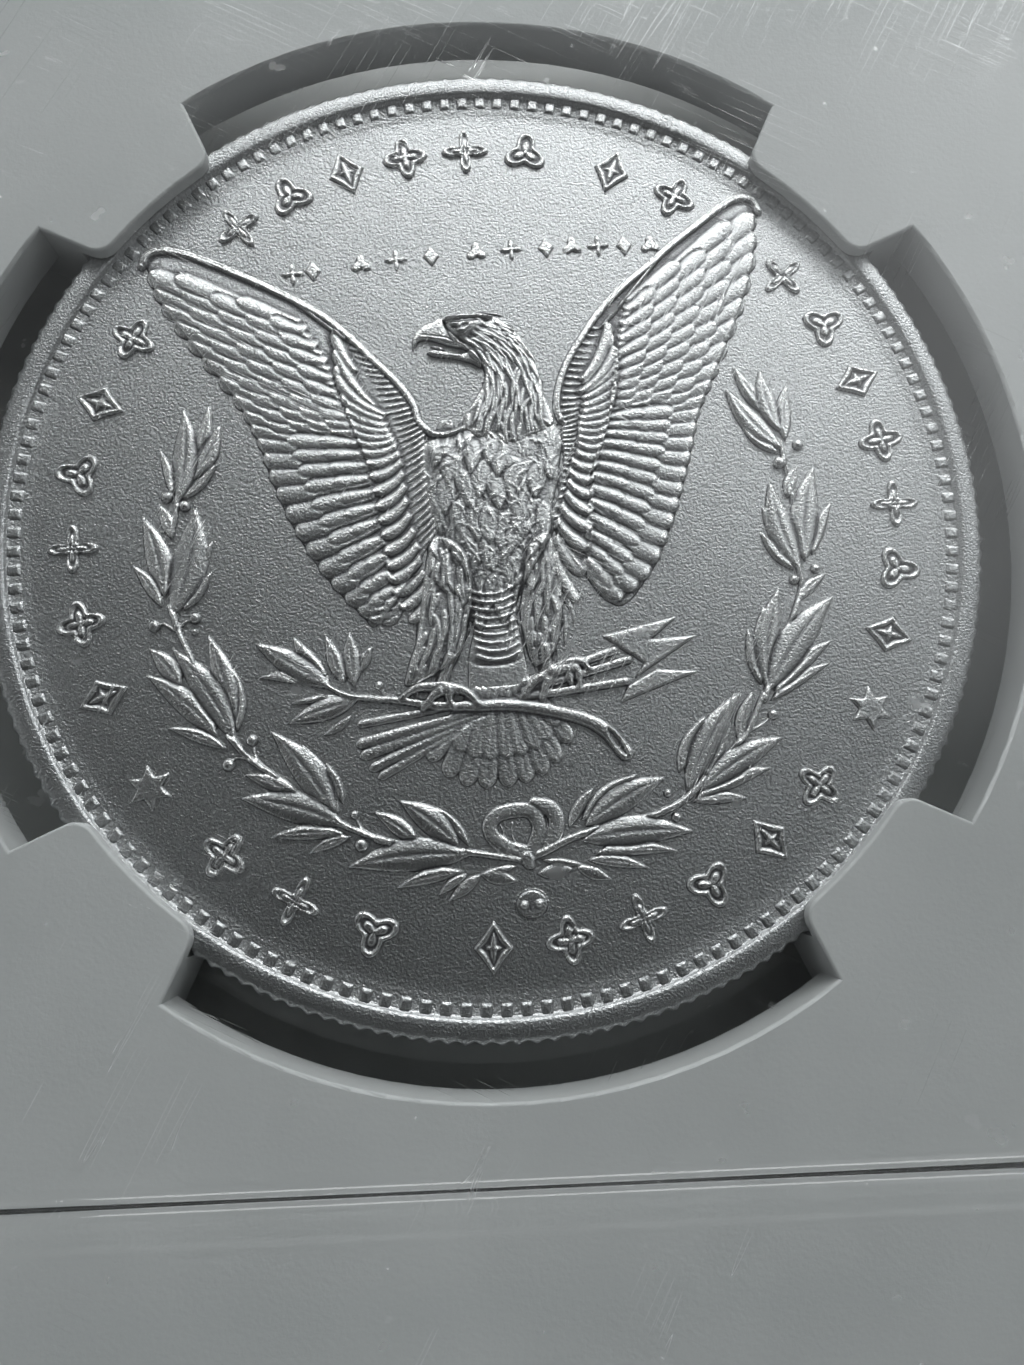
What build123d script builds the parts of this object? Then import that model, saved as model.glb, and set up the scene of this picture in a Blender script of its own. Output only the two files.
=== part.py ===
from build123d import *
import os
from math import cos, pi, radians, sin, tan

# A sealed display slab for one large silver coin, lying flat with the coin's reverse side up.
# Millimetres. Origin: bottom centre of the slab's box. +Y points to the coin end, +Z up.

# Slab: two clear half shells that meet at mid height.
SLAB_LENGTH = 84.0
SLAB_WIDTH = 60.0
SLAB_HEIGHT = 8.0
SLAB_CORNER = 4.5           # plan radius of the outer corners
SLAB_EDGE = 0.7             # rounding of the outer edges
FRAME_WIDTH = 3.4           # raised stacking frame round both faces
FRAME_RISE = 0.8            # height of the frame and the rib above the windows
WINDOW_CORNER = 2.6         # plan radius of a window's corners
WINDOW_EDGE = 0.38          # rounding where a window meets the frame
WINDOW_LIP = 0.38            # rounding of the frame's and the rib's upper edges round a window
RIB_WIDTH = 1.3             # cross rib between the coin window and the label window
RIB_TO_COIN = 23.6          # coin centre to the middle of the rib

# Weld seam between the shells: a tongue in a groove, inset from the outer edge.
TONGUE_INSET = 1.5
TONGUE_WIDTH = 0.8
TONGUE_DEPTH = 0.5
GROOVE_SPARE = 0.1          # room round the tongue

# Core: the white insert that grips the coin's edge with four diagonal prongs.
CORE_LENGTH = 76.8
CORE_WIDTH = 52.8
CORE_THICK = 3.6
CORE_CORNER = 3.6
CORE_SPARE = 0.1            # room between the core and the shells
OPENING_RADIUS = 20.7       # round opening that shows the coin's edge between the prongs
UNDERCUT_RADIUS = 22.4      # wider opening below the lip, on the obverse side
UNDERCUT_TOP = 4.0
PRONG_TIP_RADIUS = 18.1     # the prongs reach in over the coin's flat rim
PRONG_TIP_HALF = 2.75       # half width of a prong where it ends
PRONG_FLARE = 22.0          # degrees that a prong's side leans outwards towards its root
PRONG_ROUND = 0.8           # plan radius of a prong's two tips
OPENING_EDGE = 0.12         # rounding of the opening's and the prongs' edges on both faces
PRONG_ANGLES = (45.0, 135.0, 225.0, 315.0)
SEAT_SPARE_RADIAL = 0.1     # running room of the coin in its seat
SEAT_SPARE_AXIAL = 0.08

# Coin: 38.1 mm silver dollar size, its middle at mid height.
COIN_Y = 15.0
COIN_DIAMETER = 38.1
COIN_THICK = 2.4
COIN_TURN = 4.8             # degrees that the coin's design stands turned in the slab
RIM_INNER_RADIUS = 18.04
RIM_HEIGHT = 0.26           # rim above the field
BORDER_INNER_RADIUS = 17.3  # beaded border just inside the rim
BORDER_HEIGHT = 0.12
EDGE_BEVEL = 0.3
REED_COUNT = 189
REED_DEPTH = 0.12

# Labels: a printed card in a shallow recess on each face, with a foil seal on the rear one.
RECESS_WIDTH = 50.0
RECESS_LENGTH = 21.2
RECESS_DEPTH = 0.3
RECESS_CORNER = 1.5
LABEL_Y = -25.9
LABEL_SPARE = 0.25          # room round a card in its recess
CARD_THICK = 0.24
SEAL_SIZE = 12.0
SEAL_CORNER = 2.0
SEAL_THICK = 0.06
SEAL_X = 16.5

MID_Z = SLAB_HEIGHT / 2
CAVITY_HALF = CORE_THICK / 2 + CORE_SPARE
RIB_Y = COIN_Y - RIB_TO_COIN


def rounded_slab(length, width, corner, bottom, top, centre_y=0.0):
    """Upright block with a rounded rectangle for its plan, from height bottom to height top."""
    plan = Pos(0, centre_y, bottom) * RectangleRounded(width, length, corner)
    return extrude(plan, amount=top - bottom, dir=(0, 0, 1))


def upright_cylinder(radius, bottom, top, centre_y=COIN_Y):
    """Upright cylinder over the coin's centre unless centre_y says otherwise."""
    return Pos(0, centre_y, (bottom + top) / 2) * Cylinder(radius, top - bottom)


def window_pockets():
    """The two window recesses above the upper shell's glass, one each side of the rib."""
    inner_end = SLAB_LENGTH / 2 - FRAME_WIDTH
    spans = ((RIB_Y + RIB_WIDTH / 2, inner_end), (-inner_end, RIB_Y - RIB_WIDTH / 2))
    floor = SLAB_HEIGHT - FRAME_RISE
    width = SLAB_WIDTH - 2 * FRAME_WIDTH
    pockets = []
    for low, high in spans:
        pocket = rounded_slab(high - low, width, WINDOW_CORNER, floor, SLAB_HEIGHT + 1, (low + high) / 2)
        pockets.append(fillet(pocket.faces().sort_by(Axis.Z)[0].edges(), WINDOW_EDGE))
    return pockets


def borders_window(spot):
    """Whether a spot on the shell's face lies inside the frame, at the edge of a window."""
    reach = 0.1 - FRAME_WIDTH
    return abs(spot.X) < SLAB_WIDTH / 2 + reach and abs(spot.Y) < SLAB_LENGTH / 2 + reach


def shell_blank():
    """Upper half shell without its seam detail: frame, rib, windows and the core's cavity."""
    blank = rounded_slab(SLAB_LENGTH, SLAB_WIDTH, SLAB_CORNER, MID_Z, SLAB_HEIGHT)
    blank = fillet(blank.faces().sort_by(Axis.Z)[-1].edges(), SLAB_EDGE)
    for pocket in window_pockets():
        blank -= pocket
    face_edges = blank.edges().group_by(Axis.Z)[-1]
    blank = fillet([edge for edge in face_edges if borders_window(edge.center())], WINDOW_LIP)
    room = 2 * CORE_SPARE
    cavity = rounded_slab(CORE_LENGTH + room, CORE_WIDTH + room, CORE_CORNER, MID_Z - 1, MID_Z + CAVITY_HALF)
    return blank - cavity


def seam_ring(inset, width, bottom, top):
    """Closed ring that follows the slab's outline, inset from it, for the tongue or its groove."""
    outer_corner = SLAB_CORNER - inset
    outer = rounded_slab(SLAB_LENGTH - 2 * inset, SLAB_WIDTH - 2 * inset, outer_corner, bottom, top)
    inner_inset = inset + width
    inner_corner = SLAB_CORNER - inner_inset
    return outer - rounded_slab(
        SLAB_LENGTH - 2 * inner_inset, SLAB_WIDTH - 2 * inner_inset, inner_corner, bottom - 1, top + 1
    )


def rear_shell():
    """Upper half, over the coin's reverse: it carries the tongue of the seam."""
    return shell_blank() + seam_ring(TONGUE_INSET, TONGUE_WIDTH, MID_Z - TONGUE_DEPTH, MID_Z)


def front_shell():
    """Lower half, over the coin's obverse: the upper half turned over, with the seam's groove."""
    lower = mirror(shell_blank(), about=Plane.XY.offset(MID_Z))
    depth = TONGUE_DEPTH + GROOVE_SPARE
    inset = TONGUE_INSET - GROOVE_SPARE
    return lower - seam_ring(inset, TONGUE_WIDTH + 2 * GROOVE_SPARE, MID_Z - depth, MID_Z + 1)


def prong(angle):
    """One prong with rounded tips, from inside the core's body to the edge of the coin's field."""
    root_radius = UNDERCUT_RADIUS + 0.8
    root_half = PRONG_TIP_HALF + (root_radius - PRONG_TIP_RADIUS) * tan(radians(PRONG_FLARE))
    tip_face = PRONG_TIP_RADIUS - 0.5
    outline = Polygon(
        (tip_face, -PRONG_TIP_HALF),
        (root_radius, -root_half),
        (root_radius, root_half),
        (tip_face, PRONG_TIP_HALF),
        align=None,
    )
    outline -= Circle(PRONG_TIP_RADIUS)
    tips = outline.vertices().sort_by(Axis.X)[:2]
    outline = fillet(tips, PRONG_ROUND)
    bottom = MID_Z - CORE_THICK / 2
    return Pos(0, COIN_Y, bottom) * Rot(0, 0, angle) * extrude(outline, amount=CORE_THICK, dir=(0, 0, 1))


def label_recess(bottom, top):
    """Space cut from one face of the core for a label card."""
    return rounded_slab(RECESS_LENGTH, RECESS_WIDTH, RECESS_CORNER, bottom, top, LABEL_Y)


def opening_edges(core, height):
    """Edges of the opening and the prongs that lie in one face of the core."""
    centre = Vector(0, COIN_Y, height)
    flat = core.edges().filter_by_position(Axis.Z, height - 0.01, height + 0.01)
    return [edge for edge in flat if (edge.center() - centre).length < UNDERCUT_RADIUS + 0.5]


def coin_core():
    """White insert: plate, stepped round opening, four prongs with the coin's seat, two label recesses."""
    low, high = MID_Z - CORE_THICK / 2, MID_Z + CORE_THICK / 2
    core = rounded_slab(CORE_LENGTH, CORE_WIDTH, CORE_CORNER, low, high)
    core -= upright_cylinder(OPENING_RADIUS, low - 1, high + 1)
    core -= upright_cylinder(UNDERCUT_RADIUS, low - 1, UNDERCUT_TOP)
    for angle in PRONG_ANGLES:
        core += prong(angle)
    core = fillet(opening_edges(core, low) + opening_edges(core, high), OPENING_EDGE)
    half_seat = COIN_THICK / 2 + SEAT_SPARE_AXIAL
    core -= upright_cylinder(COIN_DIAMETER / 2 + SEAT_SPARE_RADIAL, MID_Z - half_seat, MID_Z + half_seat)
    core -= label_recess(high - RECESS_DEPTH, high + 1)
    return core - label_recess(low - 1, low + RECESS_DEPTH)


def coin():
    """Struck blank with raised rims, a low border ring inside each rim and a reeded edge."""
    radius = COIN_DIAMETER / 2
    half = COIN_THICK / 2
    field = half - RIM_HEIGHT
    upper = [
        (0, field),
        (BORDER_INNER_RADIUS, field),
        (BORDER_INNER_RADIUS + 0.1, field + BORDER_HEIGHT),
        (RIM_INNER_RADIUS - 0.1, field + BORDER_HEIGHT),
        (RIM_INNER_RADIUS, half),
        (radius - EDGE_BEVEL, half),
        (radius, half - EDGE_BEVEL),
    ]
    lower = [(r, -z) for r, z in reversed(upper)]
    profile = Plane.XZ * Polygon(*upper, *lower, align=None)
    lathe = revolve(profile, Axis.Z, 360)
    step = pi / REED_COUNT
    radii = (radius, radius - REED_DEPTH)
    reeds = [(radii[i % 2] * cos(i * step), radii[i % 2] * sin(i * step)) for i in range(2 * REED_COUNT)]
    blank = Pos(0, 0, -half - 1) * extrude(Polygon(*reeds, align=None), amount=COIN_THICK + 2, dir=(0, 0, 1))
    return Pos(0, COIN_Y, MID_Z) * Rot(0, 0, COIN_TURN) * (lathe & blank)


def label_card(bottom):
    """Thin printed card that lies in a recess of the core."""
    length = RECESS_LENGTH - 2 * LABEL_SPARE
    width = RECESS_WIDTH - 2 * LABEL_SPARE
    corner = RECESS_CORNER - LABEL_SPARE
    return rounded_slab(length, width, corner, bottom, bottom + CARD_THICK, LABEL_Y)


def foil_seal():
    """Square security foil with rounded corners, stuck on the rear card."""
    bottom = MID_Z + CORE_THICK / 2 - RECESS_DEPTH + CARD_THICK
    plan = Pos(SEAL_X, LABEL_Y, bottom) * RectangleRounded(SEAL_SIZE, SEAL_SIZE, SEAL_CORNER)
    return extrude(plan, amount=SEAL_THICK, dir=(0, 0, 1))


rear_card_bottom = MID_Z + CORE_THICK / 2 - RECESS_DEPTH
front_card_bottom = MID_Z - CORE_THICK / 2 + RECESS_DEPTH - CARD_THICK

nodes = {
    "rear_shell": rear_shell(),
    "front_shell": front_shell(),
    "coin_core": coin_core(),
    "coin": coin(),
    "rear_label_card": label_card(rear_card_bottom),
    "front_label_card": label_card(front_card_bottom),
    "foil_seal": foil_seal(),
}

os.makedirs("parts", exist_ok=True)
for name, solid in nodes.items():
    export_step(solid, f"parts/{name}.step")
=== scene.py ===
"""A sealed slab with a silver dollar size coin: looks of every piece, made round the fixed CAD frame.

The CAD nodes keep their places. The coin's plain solid is replaced by a struck coin whose relief is
worked out as height fields; the shells, the insert, the cards and the seal get their finishes.
"""
import logging
import math
from dataclasses import dataclass, field
from enum import Enum

import bpy
import numpy as np
from mathutils import Euler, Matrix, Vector


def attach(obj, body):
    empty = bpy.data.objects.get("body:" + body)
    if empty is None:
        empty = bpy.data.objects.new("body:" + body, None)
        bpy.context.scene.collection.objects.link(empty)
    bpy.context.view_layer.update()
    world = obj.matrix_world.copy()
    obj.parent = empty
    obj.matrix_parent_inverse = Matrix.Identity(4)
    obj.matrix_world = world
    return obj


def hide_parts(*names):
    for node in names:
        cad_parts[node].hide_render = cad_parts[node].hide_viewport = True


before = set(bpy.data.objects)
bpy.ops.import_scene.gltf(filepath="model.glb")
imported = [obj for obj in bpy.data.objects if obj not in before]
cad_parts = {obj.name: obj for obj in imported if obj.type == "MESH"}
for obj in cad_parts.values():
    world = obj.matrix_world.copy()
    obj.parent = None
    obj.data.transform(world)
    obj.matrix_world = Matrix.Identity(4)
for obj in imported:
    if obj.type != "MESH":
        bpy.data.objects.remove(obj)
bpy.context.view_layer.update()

LOG = logging.getLogger("slab")
MM = 0.001
COIN_BODY = "coin"
# the relief mask sets the silver's painted shade in the hollows and painted highlight on the crests, and its
# roughness
RELIEF_MASK = "relief"        # vertex attribute: 0 in a hollow, 0.5 on plain metal, 1 on a crest
PLAIN_METAL = 0.5
MASK_REACH = 0.16             # half width of the neighbourhood that the mask compares with, mm
MASK_STEP = 0.05              # height that changes the mask by one, mm

Point = tuple[float, float]
Pair = tuple[Point, Point]
Given = bpy.types.NodeSocket | float | tuple | Vector      # a socket to link or a value to set


# ---------------------------------------------------------------- meshes

def add_mesh(name: str, verts: np.ndarray, faces: list, body: str,
             material: bpy.types.Material, mask: np.ndarray | None = None) -> bpy.types.Object:
    """Make a smooth-shaded piece whose place is in its mesh, and let it ride.

    Args:
        name: the piece's name.
        verts: corner positions in metres, one row each.
        faces: lists of corner numbers, outward side first.
        body: the CAD body that it rides on.
        material: its finish.
        mask: the relief mask, one value per corner.

    Returns:
        The new object.
    """
    mesh = bpy.data.meshes.new(name)
    mesh.from_pydata(verts.tolist(), [], faces)
    mesh.polygons.foreach_set("use_smooth", [True] * len(mesh.polygons))
    if mask is not None:
        mesh.attributes.new(RELIEF_MASK, "FLOAT", "POINT").data.foreach_set("value",
                                                                            mask.astype(np.float32))
    mesh.materials.append(material)
    mesh.update()
    piece = bpy.data.objects.new(name, mesh)
    bpy.context.scene.collection.objects.link(piece)
    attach(piece, body)
    LOG.info("%s: %d faces", name, len(mesh.polygons))
    return piece


def grid_faces(rows: int, columns: int, first: int = 0, wrap: bool = False) -> list:
    """Quads of a grid of rows by columns of corners, columns joined round when wrap is true.

    Args:
        rows: number of corner rows.
        columns: number of corners in a row.
        first: number of the first corner.
        wrap: whether the last column joins the first.

    Returns:
        The faces, wound so that row direction times column direction points inwards.
    """
    r, c = np.meshgrid(np.arange(rows - 1), np.arange(columns if wrap else columns - 1), indexing="ij")
    after = (c + 1) % columns
    quads = np.stack([r * columns + c, r * columns + after, (r + 1) * columns + after,
                      (r + 1) * columns + c], -1)
    return (quads.reshape(-1, 4) + first).tolist()


def smooth_curve(points: list[Point], count: int) -> np.ndarray:
    """Catmull-Rom curve: each span is the cubic whose end slopes are half the chord past its two ends.

    Args:
        points: knots that the curve goes through.
        count: number of samples, evenly spread over the spans.

    Returns:
        Sampled positions, one row each.
    """
    knots = np.asarray(points, float)
    knots = np.vstack([2 * knots[0] - knots[1], knots, 2 * knots[-1] - knots[-2]])
    where = np.linspace(0, len(points) - 1, count)
    span = np.minimum(where.astype(int), len(points) - 2)
    t = (where - span)[:, None]
    a, b, c, d = (knots[span + i] for i in range(4))
    return 0.5 * (2 * b + (c - a) * t + (2 * a - 5 * b + 4 * c - d) * t**2 + (3 * b - a - 3 * c + d) * t**3)


def soft_step(value: np.ndarray) -> np.ndarray:
    """Zero below 0, one above 1 and a smooth ramp between them."""
    t = np.clip(value, 0, 1)
    return t * t * (3 - 2 * t)


def box_blur(values: np.ndarray, reach: int) -> np.ndarray:
    """Mean over a square of 2 * reach + 1 cells, edges repeated, from running sums along both ways.

    Args:
        values: the grid.
        reach: cells to each side.

    Returns:
        The means, on the same grid.
    """
    size = 2 * reach + 1
    for axis in (0, 1):
        pad = [(reach + 1, reach) if i == axis else (0, 0) for i in (0, 1)]
        total = np.cumsum(np.pad(values, pad, mode="edge"), axis=axis)
        ends = np.take(total, range(size, total.shape[axis]), axis=axis)
        values = (ends - np.take(total, range(total.shape[axis] - size), axis=axis)) / size
    return values


# ---------------------------------------------------------------- struck relief

class Blade(Enum):
    """Plan outlines of a long motif, as half width against the way from base (0) to tip (1)."""

    FEATHER = "feather"
    LEAF = "leaf"
    STRAND = "strand"

    def half_width(self, t: np.ndarray, tip_round: float) -> np.ndarray:
        """Half width as a share of the widest.

        Feather: widens from 0.6 to full, then a round end. Leaf: a sine arch, widest before the middle,
        pointed at both ends. Strand: full near the base, then narrowing to a point.

        Args:
            t: way from base to tip.
            tip_round: share of the length that a feather's round end takes.

        Returns:
            Shares between 0 and 1.
        """
        if self is Blade.FEATHER:
            end = np.clip((t - 1 + tip_round) / tip_round, 0, 1)
            return (0.6 + 0.4 * np.minimum(t / 0.6, 1)) * np.sqrt(1 - end**2)
        if self is Blade.LEAF:
            return np.sin(math.pi * t**0.85) ** 0.9
        return np.minimum(0.45 + 3 * t, 1) * (1 - t) ** 0.6


@dataclass(frozen=True)
class Profile:
    """Cross shape of a blade, in millimetres above the ground that it lies on.

    Attributes:
        rise: height of its edge.
        dome: extra height along its middle.
        slope: extra height at its tip, so that its end stands over the next one.
        lean: height gained towards its left edge and lost towards the right.
        crease: depth of the groove along its middle.
        edge: width of its side wall in plan.
    """

    rise: float
    dome: float = 0.03
    slope: float = 0.0
    lean: float = 0.0
    crease: float = 0.0
    edge: float = 0.11


@dataclass
class Relief:
    """Height field of one struck motif, in the coin's own millimetres above the field.

    Attributes:
        low: lowest u and v of the patch.
        high: highest u and v.
        cell: grid spacing.
    """

    low: Point
    high: Point
    cell: float = 0.05
    sunk: float = -0.045      # level of the patch where there is no motif, just under the field
    u: np.ndarray = field(init=False)
    v: np.ndarray = field(init=False)
    height: np.ndarray = field(init=False)
    ground: np.ndarray = field(init=False)

    def __post_init__(self) -> None:
        """Lay out the grid, sunk everywhere, on ground at the field's level."""
        axes = [np.arange(a, b + self.cell / 2, self.cell) for a, b in zip(self.low, self.high)]
        self.u, self.v = np.meshgrid(*axes, indexing="xy")
        self.height = np.full(self.u.shape, self.sunk)
        self.ground = np.zeros(self.u.shape)

    def set_ground(self) -> None:
        """Let what comes next lie on the relief as it stands."""
        self.ground = np.maximum(self.height, 0)

    def window(self, points: np.ndarray, reach: float) -> tuple[slice, slice]:
        """Grid rows and columns within reach of the points' box.

        Args:
            points: points of the motif.
            reach: room round them, mm.

        Returns:
            Slices of rows and of columns.
        """
        spans = []
        for axis in (1, 0):
            first = (points[:, axis].min() - reach - self.low[axis]) / self.cell
            last = (points[:, axis].max() + reach - self.low[axis]) / self.cell
            limit = self.u.shape[1 - axis]
            start = min(max(int(first), 1), limit - 2)
            spans.append(slice(start, max(min(int(last) + 2, limit - 1), start + 1)))
        return spans[0], spans[1]

    def lay(self, at: tuple[slice, slice], inset: np.ndarray, edge: float, offset: np.ndarray) -> None:
        """Cover the relief with a surface at offset above the ground, faded over its edge wall.

        Args:
            at: rows and columns.
            inset: distance inwards from the motif's outline.
            edge: width of the wall.
            offset: height above the ground.
        """
        part = self.height[at]
        part += soft_step(inset / edge) * (self.ground[at] + offset - part)

    def blade(self, base: Point, tip: Point, half: float, kind: Blade, shape: Profile,
              bow: float = 0.0) -> None:
        """A feather, leaf or strand.

        With t from 0 at the base to 1 at the tip and s the distance from the bowed middle line, where
        the line stands bow * 4t(1-t) to the left of the chord, the outline is |s| < half * width(t) and
        the height is rise + slope t + dome (1 - q^2) + lean q - crease exp(-(q/0.16)^2), with q = s over
        the half width.

        Args:
            base: where it grows from.
            tip: its end.
            half: widest half width.
            kind: its outline.
            shape: its cross shape.
            bow: sideways bend of its middle line.
        """
        ends = np.array([base, tip], float)
        along = ends[1] - ends[0]
        length = float(np.hypot(*along))
        along /= length
        at = self.window(ends, half + abs(bow) + shape.edge)
        du, dv = self.u[at] - ends[0, 0], self.v[at] - ends[0, 1]
        t = (du * along[0] + dv * along[1]) / length
        held = np.clip(t, 0, 1)
        s = dv * along[0] - du * along[1] - bow * 4 * held * (1 - held)
        wide = half * kind.half_width(held, min(1.1 * half / length, 0.6))
        inset = np.minimum(wide - np.abs(s), np.minimum(t, 1 - t + 0.02) * length + 0.02)
        q = np.clip(s / np.maximum(wide, 1e-4), -1, 1)
        offset = shape.rise + shape.slope * held + shape.dome * (1 - q**2) + shape.lean * q
        offset -= shape.crease * np.exp(-((q / 0.16) ** 2)) * np.sin(math.pi * held) ** 0.5
        self.lay(at, inset, shape.edge, offset)

    def tube(self, points: list[Point], radii: tuple[float, float], rise: float = 0.0,
             flat: float = 0.6, groove: bool = False) -> None:
        """A round cord along a smooth curve: height is rise + flat * sqrt(r^2 - d^2) at distance d.

        Args:
            points: knots of its middle line.
            radii: radius at its first and last knot.
            rise: height of its sides above the ground.
            flat: how much of the round height is kept.
            groove: cut the shape into the relief instead.
        """
        line = smooth_curve(points, 10 * len(points))
        edge = min(0.1, radii[0] + radii[1])
        at = self.window(line, max(radii) + edge)
        distance, along = self.distance(at, line)
        radius = radii[0] + (radii[1] - radii[0]) * along
        arch = flat * np.sqrt(np.maximum(radius**2 - distance**2, 0))
        if groove:
            part = self.height[at]
            part -= np.minimum(arch + rise * soft_step((radius - distance) / edge),
                               np.maximum(part + 0.03, 0))
        else:
            self.lay(at, radius - distance, edge, rise + arch)

    def distance(self, at: tuple[slice, slice], line: np.ndarray) -> tuple[np.ndarray, np.ndarray]:
        """Distance to a line of points and the share of the way along it, for every cell at once.

        Args:
            at: rows and columns.
            line: points of the line.

        Returns:
            Distances, and shares of the way.
        """
        start, step = line[:-1], np.diff(line, axis=0)
        du = self.u[at][..., None] - start[:, 0]
        dv = self.v[at][..., None] - start[:, 1]
        t = np.clip((du * step[:, 0] + dv * step[:, 1]) / (step**2).sum(1).clip(1e-12), 0, 1)
        squares = (du - t * step[:, 0]) ** 2 + (dv - t * step[:, 1]) ** 2
        nearest = squares.argmin(-1)
        pick = nearest[..., None]
        along = (nearest + np.take_along_axis(t, pick, -1)[..., 0]) / len(start)
        return np.sqrt(np.take_along_axis(squares, pick, -1)[..., 0]), along

    def solid(self, points: list[Point], rise: float, dome: float, reach: float,
              smooth: bool = True, edge: float = 0.11) -> None:
        """A closed outline with a swell: rise + dome * sqrt(1 - (1 - m)^2), m = inset / reach up to 1.

        Args:
            points: outline, round which the curve closes.
            rise: height of its edge.
            dome: swell of its middle.
            reach: inset at which the swell is full.
            smooth: whether the outline is a smooth curve or straight sides.
            edge: width of its side wall.
        """
        ring = np.array(points + points[:1], float)
        if smooth:
            lapped = points[-2:] + points + points[:3]
            spans = len(lapped) - 1
            ring = smooth_curve(lapped, spans * 8 + 1)[16:16 + len(points) * 8 + 1]
        at = self.window(ring, edge)
        inset = self.distance(at, ring)[0] * np.where(self.inside(at, ring), 1, -1)
        depth = np.clip(inset / reach, 0, 1)
        self.lay(at, inset, edge, rise + dome * np.sqrt(1 - (1 - depth) ** 2))

    def inside(self, at: tuple[slice, slice], ring: np.ndarray) -> np.ndarray:
        """Whether each cell is inside a closed ring, by counting the sides that lie to its right.

        Args:
            at: rows and columns.
            ring: points of the ring, the first one repeated at the end.

        Returns:
            True for the cells inside.
        """
        u, v = self.u[at][..., None], self.v[at][..., None]
        (u0, v0), (u1, v1) = ring[:-1].T, ring[1:].T
        crosses = (v0 > v) != (v1 > v)
        rise = np.where(v1 == v0, 1e-9, v1 - v0)
        return (crosses & (u < u0 + (v - v0) * (u1 - u0) / rise)).sum(-1) % 2 == 1

    def pellet(self, centre: Point, radius: float, rise: float = 0.05) -> None:
        """A round bead: rise + 0.6 * sqrt(r^2 - d^2).

        Args:
            centre: its middle.
            radius: its radius.
            rise: height of its side.
        """
        line = np.array([centre, (centre[0] + 1e-3, centre[1])], float)
        at = self.window(line, radius + 0.1)
        distance = np.hypot(self.u[at] - centre[0], self.v[at] - centre[1])
        self.lay(at, radius - distance, 0.1, rise + 0.6 * np.sqrt(np.maximum(radius**2 - distance**2, 0)))

    def mask(self) -> np.ndarray:
        """Relief mask: plain metal's value plus the height's excess over its neighbourhood, in mask steps.

        Returns:
            One value for each cell, from 0 to 1.
        """
        reach = max(int(MASK_REACH / self.cell), 1)
        plain = np.maximum(self.height, 0)
        # the excess sets painted shade below plain metal's value and a painted highlight above it, in the
        # silver's colour
        excess = plain - box_blur(box_blur(plain, reach), reach)
        return np.clip(PLAIN_METAL + excess / MASK_STEP, 0, 1).ravel()


def pairs_between(guide: list[Pair], count: int) -> np.ndarray:
    """Evenly spread pairs of points along two guide lines given by matched knots.

    Args:
        guide: knots, each with its point on the outer and on the inner line.
        count: number of pairs.

    Returns:
        An array of count pairs of points.
    """
    dense = 40 * len(guide)
    lines = [smooth_curve([pair[side] for pair in guide], dense) for side in (0, 1)]
    at = np.linspace(0, dense - 1, count).round().astype(int)
    return np.stack([lines[0][at], lines[1][at]], 1)


def plumage(relief: Relief, guide: list[Pair], rows: int, columns: int, length: float, half: float,
            kind: Blade, shape: Profile, seed: int, wander: float = 0.08) -> None:
    """Overlapping feathers that follow two guide lines, laid from the last row to the first.

    The place of feather (i, j) is the mix of the two guides at row i, at share j of the way across,
    shifted by half a step in every second row and by a small seeded wander.

    Args:
        relief: relief that they lie on.
        guide: matched knots of the left and the right line.
        rows: number of rows down the lines.
        columns: number across.
        length: length of a feather.
        half: half width of a feather.
        kind: its outline.
        shape: its cross shape.
        seed: seed of the wander.
        wander: size of the wander, as a share of the length.
    """
    chance = np.random.default_rng(seed)
    relief.set_ground()
    per_row, first, ahead_by = 12, 3, 9
    dense = per_row * rows + 1
    lines = np.stack([smooth_curve([pair[side] for pair in guide], dense) for side in (0, 1)])
    for row in reversed(range(rows)):
        here = per_row * row + first
        for column in range(columns):
            share = (column + 0.25 + 0.5 * (row % 2)) / columns
            spot = (1 - share) * lines[0, here] + share * lines[1, here]
            ahead = (1 - share) * lines[0, here + ahead_by] + share * lines[1, here + ahead_by]
            way = ahead - spot
            way = way / np.hypot(*way)
            drift = chance.normal(size=3) * wander
            spot = spot + drift[:2] * length
            way = way + drift[2] * np.array([-way[1], way[0]]) * 2
            relief.blade(tuple(spot), tuple(spot + way * length), half, kind, shape, bow=drift[2] * length)


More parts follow.
